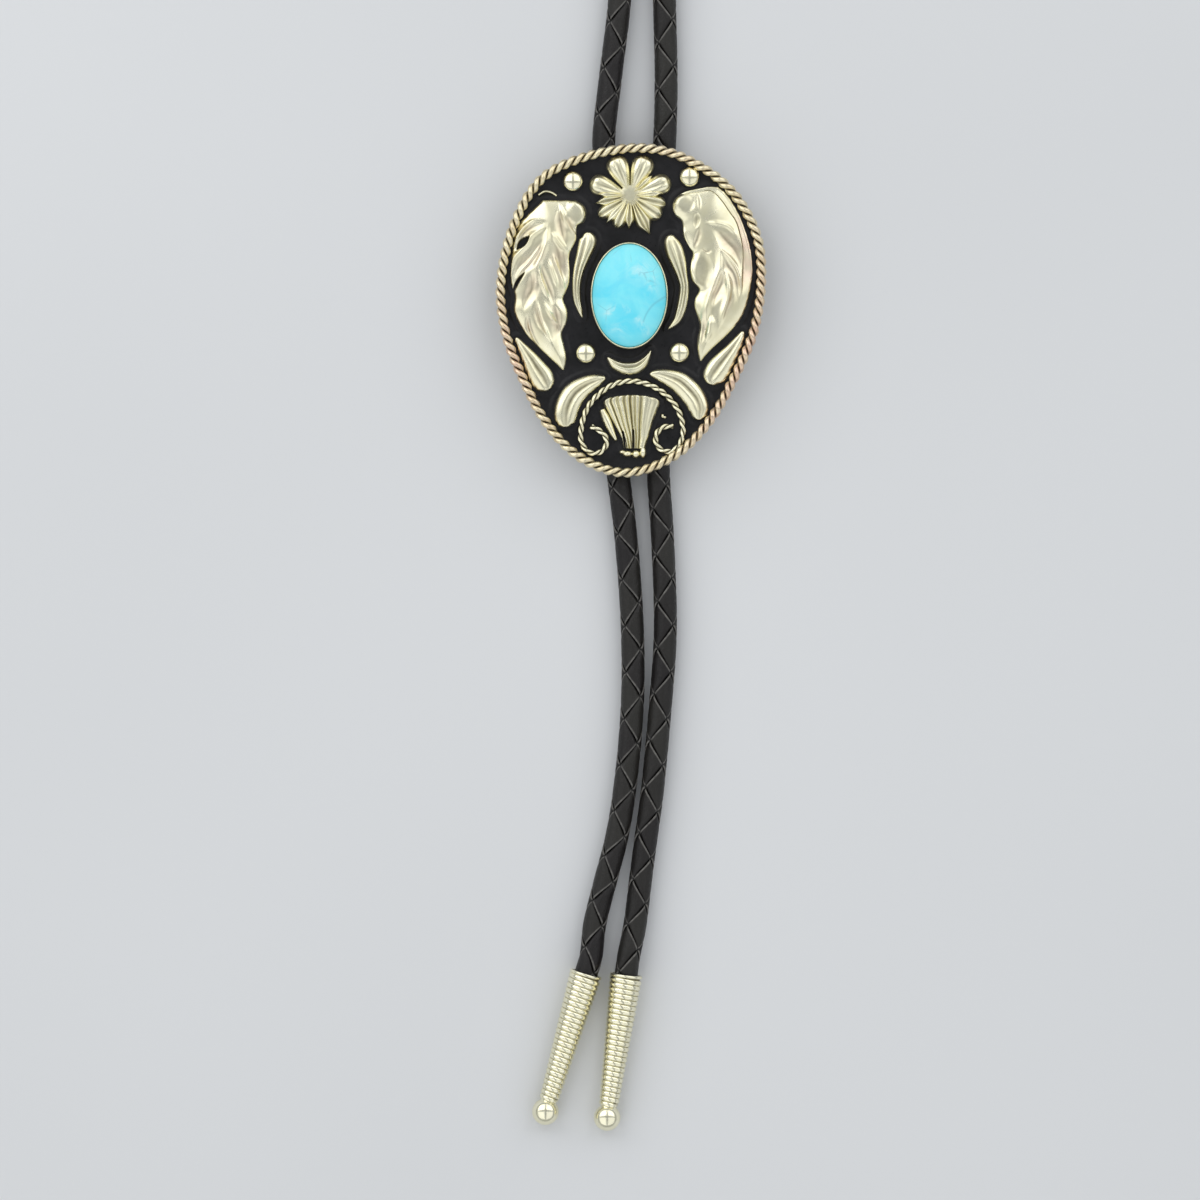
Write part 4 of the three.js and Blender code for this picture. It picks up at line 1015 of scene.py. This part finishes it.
CARVINGS = {
    "horn_left": (0.126, [
        (-0.323, 0.469, 0.35), (-0.316, 0.418, 1), (-0.35, 0.329, 0.86), (-0.382, 0.245, 0.66),
        (-0.4, 0.155, 0.52), (-0.397, 0.066, 0.46), (-0.375, 0, 0.32), (-0.357, -0.048, 0.1)],
        [(-0.25, 0.55, 0.26), (0.4, 0.3, 0.13)]),
    "horn_right": (0.14, [
        (0.293, 0.454, 0.3), (0.297, 0.412, 0.75), (0.323, 0.353, 0.94), (0.352, 0.281, 0.82),
        (0.376, 0.209, 0.6), (0.393, 0.137, 0.52), (0.385, 0.066, 0.54), (0.367, 0, 0.52),
        (0.337, -0.06, 0.4), (0.271, -0.114, 0.1)],
        [(0.3, 0.5, 0.22), (-0.3, 0.38, 0.18)]),
    "crescent": (0.096, [
        (-0.176, -0.278, 0.2), (-0.124, -0.32, 0.7), (-0.072, -0.341, 0.87), (-0.017, -0.348, 1),
        (0.042, -0.341, 0.95), (0.09, -0.314, 0.75), (0.127, -0.275, 0.42),
        (0.149, -0.236, 0.12)],
        [(0.3, 0.45, 0.24)]),
    "teardrop_left": (0.178, [
        (-0.851, -0.161, 0.17), (-0.803, -0.221, 0.42), (-0.748, -0.287, 0.67),
        (-0.7, -0.35, 0.88), (-0.659, -0.403, 1), (-0.63, -0.448, 0.84), (-0.611, -0.478, 0.3)],
        [(0.15, 0.5, 0.28)]),
    "teardrop_right": (0.178, [
        (0.832, -0.123, 0.17), (0.799, -0.176, 0.42), (0.751, -0.236, 0.62),
        (0.699, -0.293, 0.83), (0.648, -0.35, 1), (0.607, -0.401, 0.92), (0.585, -0.445, 0.33)],
        [(-0.15, 0.5, 0.28)]),
    "bean_left": (0.178, [
        (-0.183, -0.401, 0.14), (-0.25, -0.418, 0.53), (-0.327, -0.445, 0.76),
        (-0.412, -0.496, 0.96), (-0.46, -0.559, 1), (-0.48, -0.622, 0.96), (-0.482, -0.669, 0.8),
        (-0.479, -0.699, 0.3)],
        [(0.05, 0.62, 0.26)]),
    "bean_right": (0.166, [
        (0.134, -0.38, 0.13), (0.19, -0.383, 0.46), (0.275, -0.401, 0.74), (0.356, -0.43, 0.93),
        (0.426, -0.481, 1), (0.478, -0.538, 0.98), (0.5, -0.592, 0.9), (0.498, -0.634, 0.62),
        (0.495, -0.656, 0.22)],
        [(0.12, 0.62, 0.24)])}
CARVING_HEIGHT, CARVING_GRID, STRIP_GRID = 1.65, (90, 29), (40, 13)
STEM_WIDTH, STEM_HEIGHT, BLADE_WIDTH, BLADE_HEIGHT = 0.62, 0.8, 0.064 * HALF[0], 1.35
STEM = [(-0.685, 0.687, 1), (-0.634, 0.71, 1), (-0.582, 0.702, 1), (-0.545, 0.682, 1)]
BLADE = [(-0.215, -0.588, 0.7), (-0.181, -0.65, 1), (-0.145, -0.716, 0.8), (-0.108, -0.778, 0.4)]


def ribbon(name, rows, widest, height, grooves, grid):
    """A raised strip along a line, with rounded ends and grooves along it."""
    rows = np.asarray(rows, float)
    line = even(dense_curve(np.column_stack([on_field(rows[:, :2]), rows[:, 2] * widest])), grid[0])
    towards = directions(line[:, :2])
    side = np.column_stack([-towards[:, 1], towards[:, 0]])
    u = np.linspace(0, 1, grid[0])
    ends = rounded(np.minimum(u, 1 - u) / 0.035, 0.002)
    half = (1.05 * line[:, 2] / 2 * ends)[:, None]
    v = np.linspace(-1, 1, grid[1])[None]
    flat = line[:, None, :2] + (half * v)[..., None] * side[:, None]
    fullness = np.clip(half / half.max(), 0, 1) ** 0.55
    belly = (1 - np.abs(v) ** 2.2) ** 0.6
    body = height * (0.30 + 0.70 * fullness) * belly * ends[:, None] ** 0.5
    # Painted shade on the strip's side walls.
    dark = smooth_step(np.abs(v) + 0 * half, 0.94, 1.0) * 0.8
    run = np.sin(math.pi * np.clip(u * 1.1 - 0.05, 0, 1))[:, None] ** 0.5
    for place, depth, spread in grooves:
        mark = bell(v - place, spread) * run
        body = body - depth * mark * fullness
        # Each groove is darkened by oxide and painted shade.
        dark = np.maximum(dark, 0.85 * mark ** 1.6)
    top = np.concatenate([flat, (PLATE_TOP + np.maximum(body, 0.02))[..., None]], -1)
    shell = Shell()
    shell.add_relief(top, dark)
    mesh_object(name, shell, SILVER, name.rsplit("_", 1)[0])
    return np.concatenate([top[:, 0, :2], top[::-1, -1, :2], top[:1, 0, :2]])


# Fan: a sheaf that spreads upwards from its knot, as (along, left, right) from the top down

FAN = [(-0.535, -0.184, 0.2), (-0.546, -0.201, 0.214), (-0.562, -0.202, 0.213),
       (-0.592, -0.181, 0.197), (-0.675, -0.128, 0.16), (-0.759, -0.075, 0.131),
       (-0.8, -0.058, 0.115), (-0.824, -0.05, 0.108)]
FAN_ROWS, FAN_COLUMNS = 80, 110
FAN_TOP, FAN_FALL, FLUTE_RISE, FLUTE_BASE, MARK_DEPTH = 1.35, 0.45, 0.62, 0.40, 0.28
# Where its flutes meet, across from 0 to 1, and how deep and dark each of those lines is
FAN_FLUTES = [0.0, 0.13, 0.24, 0.36, 0.47, 0.55, 0.66, 1.0]
FAN_MARKS = [0.9, 0.45, 0.8, 1.0, 0.55, 0.9]
FAN_SLITS = [[(-1.9, -29.2), (-1.35, -33.2)], [(0.55, -28.8), (0.5, -33.3)]]
# Lumps below the fan and one chip beside it: middle, half sizes and height
KNOTS = [(-2.0, -33.95, 0.85, 0.55, 1.0), (-0.85, -34.35, 1.25, 0.80, 1.3),
         (1.2, -34.45, 0.98, 1.05, 1.3), (2.9, -34.0, 0.85, 1.50, 1.3),
         (7.6, -25.3, 0.35, 0.5, 0.4), (8.1, -25.6, 0.4, 0.3, 0.3)]


def make_fan():
    x, y, border = leaf_grid(FAN, FAN_ROWS, FAN_COLUMNS)
    wide = x[:, -1:] - x[:, :1]
    share = (x - x[:, :1]) / wide
    climb = np.linspace(1, 0, FAN_ROWS)[:, None]
    arch = 1.25 * (1 - (2 * share - 1) ** 2) ** 0.75 + 0.10 * np.abs(np.sin(math.pi * share * 6))
    y = y + arch * climb ** 2.2
    height = FAN_TOP - FAN_FALL * (1 - climb) + 0 * share
    groove = np.zeros_like(share)
    for low, high in zip(FAN_FLUTES, FAN_FLUTES[1:]):
        middle, half = (low + high) / 2, (high - low) / 2
        place = np.clip(np.abs(share - middle) / half, 0, 1)
        inside = (share >= low) & (share <= high)
        height += np.where(inside, FLUTE_RISE * (1 - place ** 2) - FLUTE_BASE, 0)
        # The flutes are painted darker towards their edges, and darker still along the lines where
        # they meet: oxide and painted shade.
        groove = np.where(inside, np.maximum(groove, 0.22 * smooth_step(place, 0.75, 1.0)), groove)
    for edge, mark in zip(FAN_FLUTES[1:], FAN_MARKS):
        groove = np.maximum(groove, mark * bell(share - edge, 0.011))
        height -= MARK_DEPTH * mark * bell(share - edge, 0.018)
    fine = np.sin(share * 44) * np.sin(share * 17 + 2) * smooth_step(climb, 0.15, 0.6)
    height += 0.11 * fine
    # Painted shade in the low parts of the fine ripple.
    groove = np.maximum(groove, 0.15 * smooth_step(-fine, 0.3, 0.9))
    points = np.column_stack([x.ravel(), y.ravel()])
    for slit in FAN_SLITS:
        away = distance_to(points, np.array(slit)).reshape(x.shape)
        cut = smooth_step(away, 0.28, 0.12)
        height = height * (1 - cut) - 0.2 * cut
        # Painted shade into each slit.
        groove = np.maximum(groove, smooth_step(away, 0.36, 0.15))
    edge_away = np.minimum(np.minimum(share, 1 - share) * wide, (1 - climb) * 12.0)
    height *= 0.35 + 0.65 * rounded(edge_away / 0.6)
    shell = Shell()
    shell.add_relief(np.stack([x, y, PLATE_TOP + height], -1), groove)
    for knot_x, knot_y, half_x, half_y, lift in KNOTS:
        dome(shell, (knot_x, knot_y), (half_x, half_y), 0.1, lift, 12, 20, [1.0, 0.4], 0.05)
    mesh_object("fan_sheaf", shell, SILVER, "fan")
    return border


# Clasp on the back: one strip whose edges roll round both runs of the cord

CLIP_FACETS, CLIP_OPENING, CLIP_BEVEL = 44, math.pi / 9, 0.14


def make_clip():
    sweep = np.linspace(0, 2 * math.pi - CLIP_OPENING, CLIP_FACETS)
    channels = [(CLIP_CENTRE - CLIP_SPACING / 2, math.pi / 2 + sweep[::-1]),
                (CLIP_CENTRE + CLIP_SPACING / 2, math.pi / 2 - sweep)]

    def arcs(radius, order):
        return [(x + radius * math.cos(a), CHANNEL_Z + radius * math.sin(a))
                for x, angles in channels[::order] for a in angles[::order]]

    def section(bevel):
        return np.array(arcs(CHANNEL_OUTER - bevel, 1) + arcs(CHANNEL_BORE + bevel, -1))

    half = CLIP_LENGTH / 2
    rings = []
    for y, bevel in [(-half, CLIP_BEVEL), (-half + CLIP_BEVEL, 0), (0, 0), (half - CLIP_BEVEL, 0),
                     (half, CLIP_BEVEL)]:
        loop = section(bevel)
        rings.append(np.column_stack([loop[:, 0], np.full(len(loop), y), loop[:, 1].clip(0)]))
    shell = Shell().add_tube(np.array(rings), groove=0.05)
    mesh_object("clip_rolled", shell, BACK_METAL, "clip")


# Floor and light: four soft boxes with a cross-shaped gap between them.
# Sizes here are in metres, and each light is its side in x and y and its power in watts.

LIGHT_HEIGHT, LIGHT_SIZE, LIGHT_GAP, LIGHT_SHIFT = 0.75, 2.0, 0.22, -0.03
LIGHTS = [(1, 1, 13.5), (-1, 1, 16.5), (-1, -1, 8.8), (1, -1, 7.0)]
WORLD_COLOUR, WORLD_LEVEL = (0.92, 0.96, 1.0, 1.0), 0.40
FLOOR_REACH = 4.0


def make_studio():
    mesh = bpy.data.meshes.new("floor")
    corners = [(-1, -1), (1, -1), (1, 1), (-1, 1)]
    mesh.from_pydata([(FLOOR_REACH * x, FLOOR_REACH * y, 0) for x, y in corners], [],
                     [(0, 1, 2, 3)])
    floor = new_object("floor", mesh)
    look = Look("floor", None, Roughness=0.85, Specular_IOR_Level=0.2)
    shade = look.ranged(look.noise(3.0, 2.0), 0.3, 0.7)
    look.join(Base_Color=look.mixed(shade, (0.66, 0.67, 0.68), (0.71, 0.72, 0.73)))
    mesh.materials.append(look.material)
    offset = LIGHT_GAP / 2 + LIGHT_SIZE / 2
    for number, (x, y, power) in enumerate(LIGHTS):
        data = bpy.data.lights.new(f"softbox_{number}", "AREA")
        data.shape, data.size, data.energy = "SQUARE", LIGHT_SIZE, power
        lamp = new_object(data.name, data)
        lamp.location = (x * offset, y * offset + LIGHT_SHIFT, LIGHT_HEIGHT)
        lamp.visible_camera = False
    world = bpy.data.worlds.new("world")
    world.use_nodes = True
    background = world.node_tree.nodes["Background"]
    background.inputs["Color"].default_value = WORLD_COLOUR
    background.inputs["Strength"].default_value = WORLD_LEVEL
    bpy.context.scene.world = world
    bpy.context.scene.view_settings.view_transform = "Standard"


# Making

make_camera()
cord, cord_line, cord_length, cord_exit = make_cord()
tip_pieces = [make_tip(name) for name in TIPS]

make_plate()
twisted_rope("rope_rim", edge_ring(RIM_POINTS, RIM_DIAMETER / 2), True, RIM_TURNS, RIM_DIAMETER,
             RIM_SIDES, ROPE_METAL, warm=coppery)
lasso_line = dense_curve(on_field(LASSO))
twisted_rope("lasso", lasso_line, False, run_lengths(lasso_line)[-1] / LASSO_TURN,
             LASSO_DIAMETER, LASSO_SIDES, SILVER)
make_bezel()
make_stone()
for number, place in enumerate(BEADS, 1):
    make_bead(number, place)
make_flower()
borders = [ribbon(name + "_relief", rows, widest * HALF[0], CARVING_HEIGHT, grooves, CARVING_GRID)
           for name, (widest, rows, grooves) in CARVINGS.items()]
borders += [make_leaf("leaf_left", LEAF_LEFT, LEFT_VALLEYS, LEFT_RIDGES, LEFT_PADS, LEFT_CUTS),
            make_leaf("leaf_right", LEAF_RIGHT, RIGHT_VALLEYS, RIGHT_RIDGES, RIGHT_PADS,
                      fold=RIGHT_FOLD), make_fan()]
ribbon("leaf_stem_strip", STEM, STEM_WIDTH, STEM_HEIGHT, [], STRIP_GRID)
ribbon("fan_spike_strip", BLADE, BLADE_WIDTH, BLADE_HEIGHT, [], STRIP_GRID)
make_clip()
make_field(borders)
make_studio()
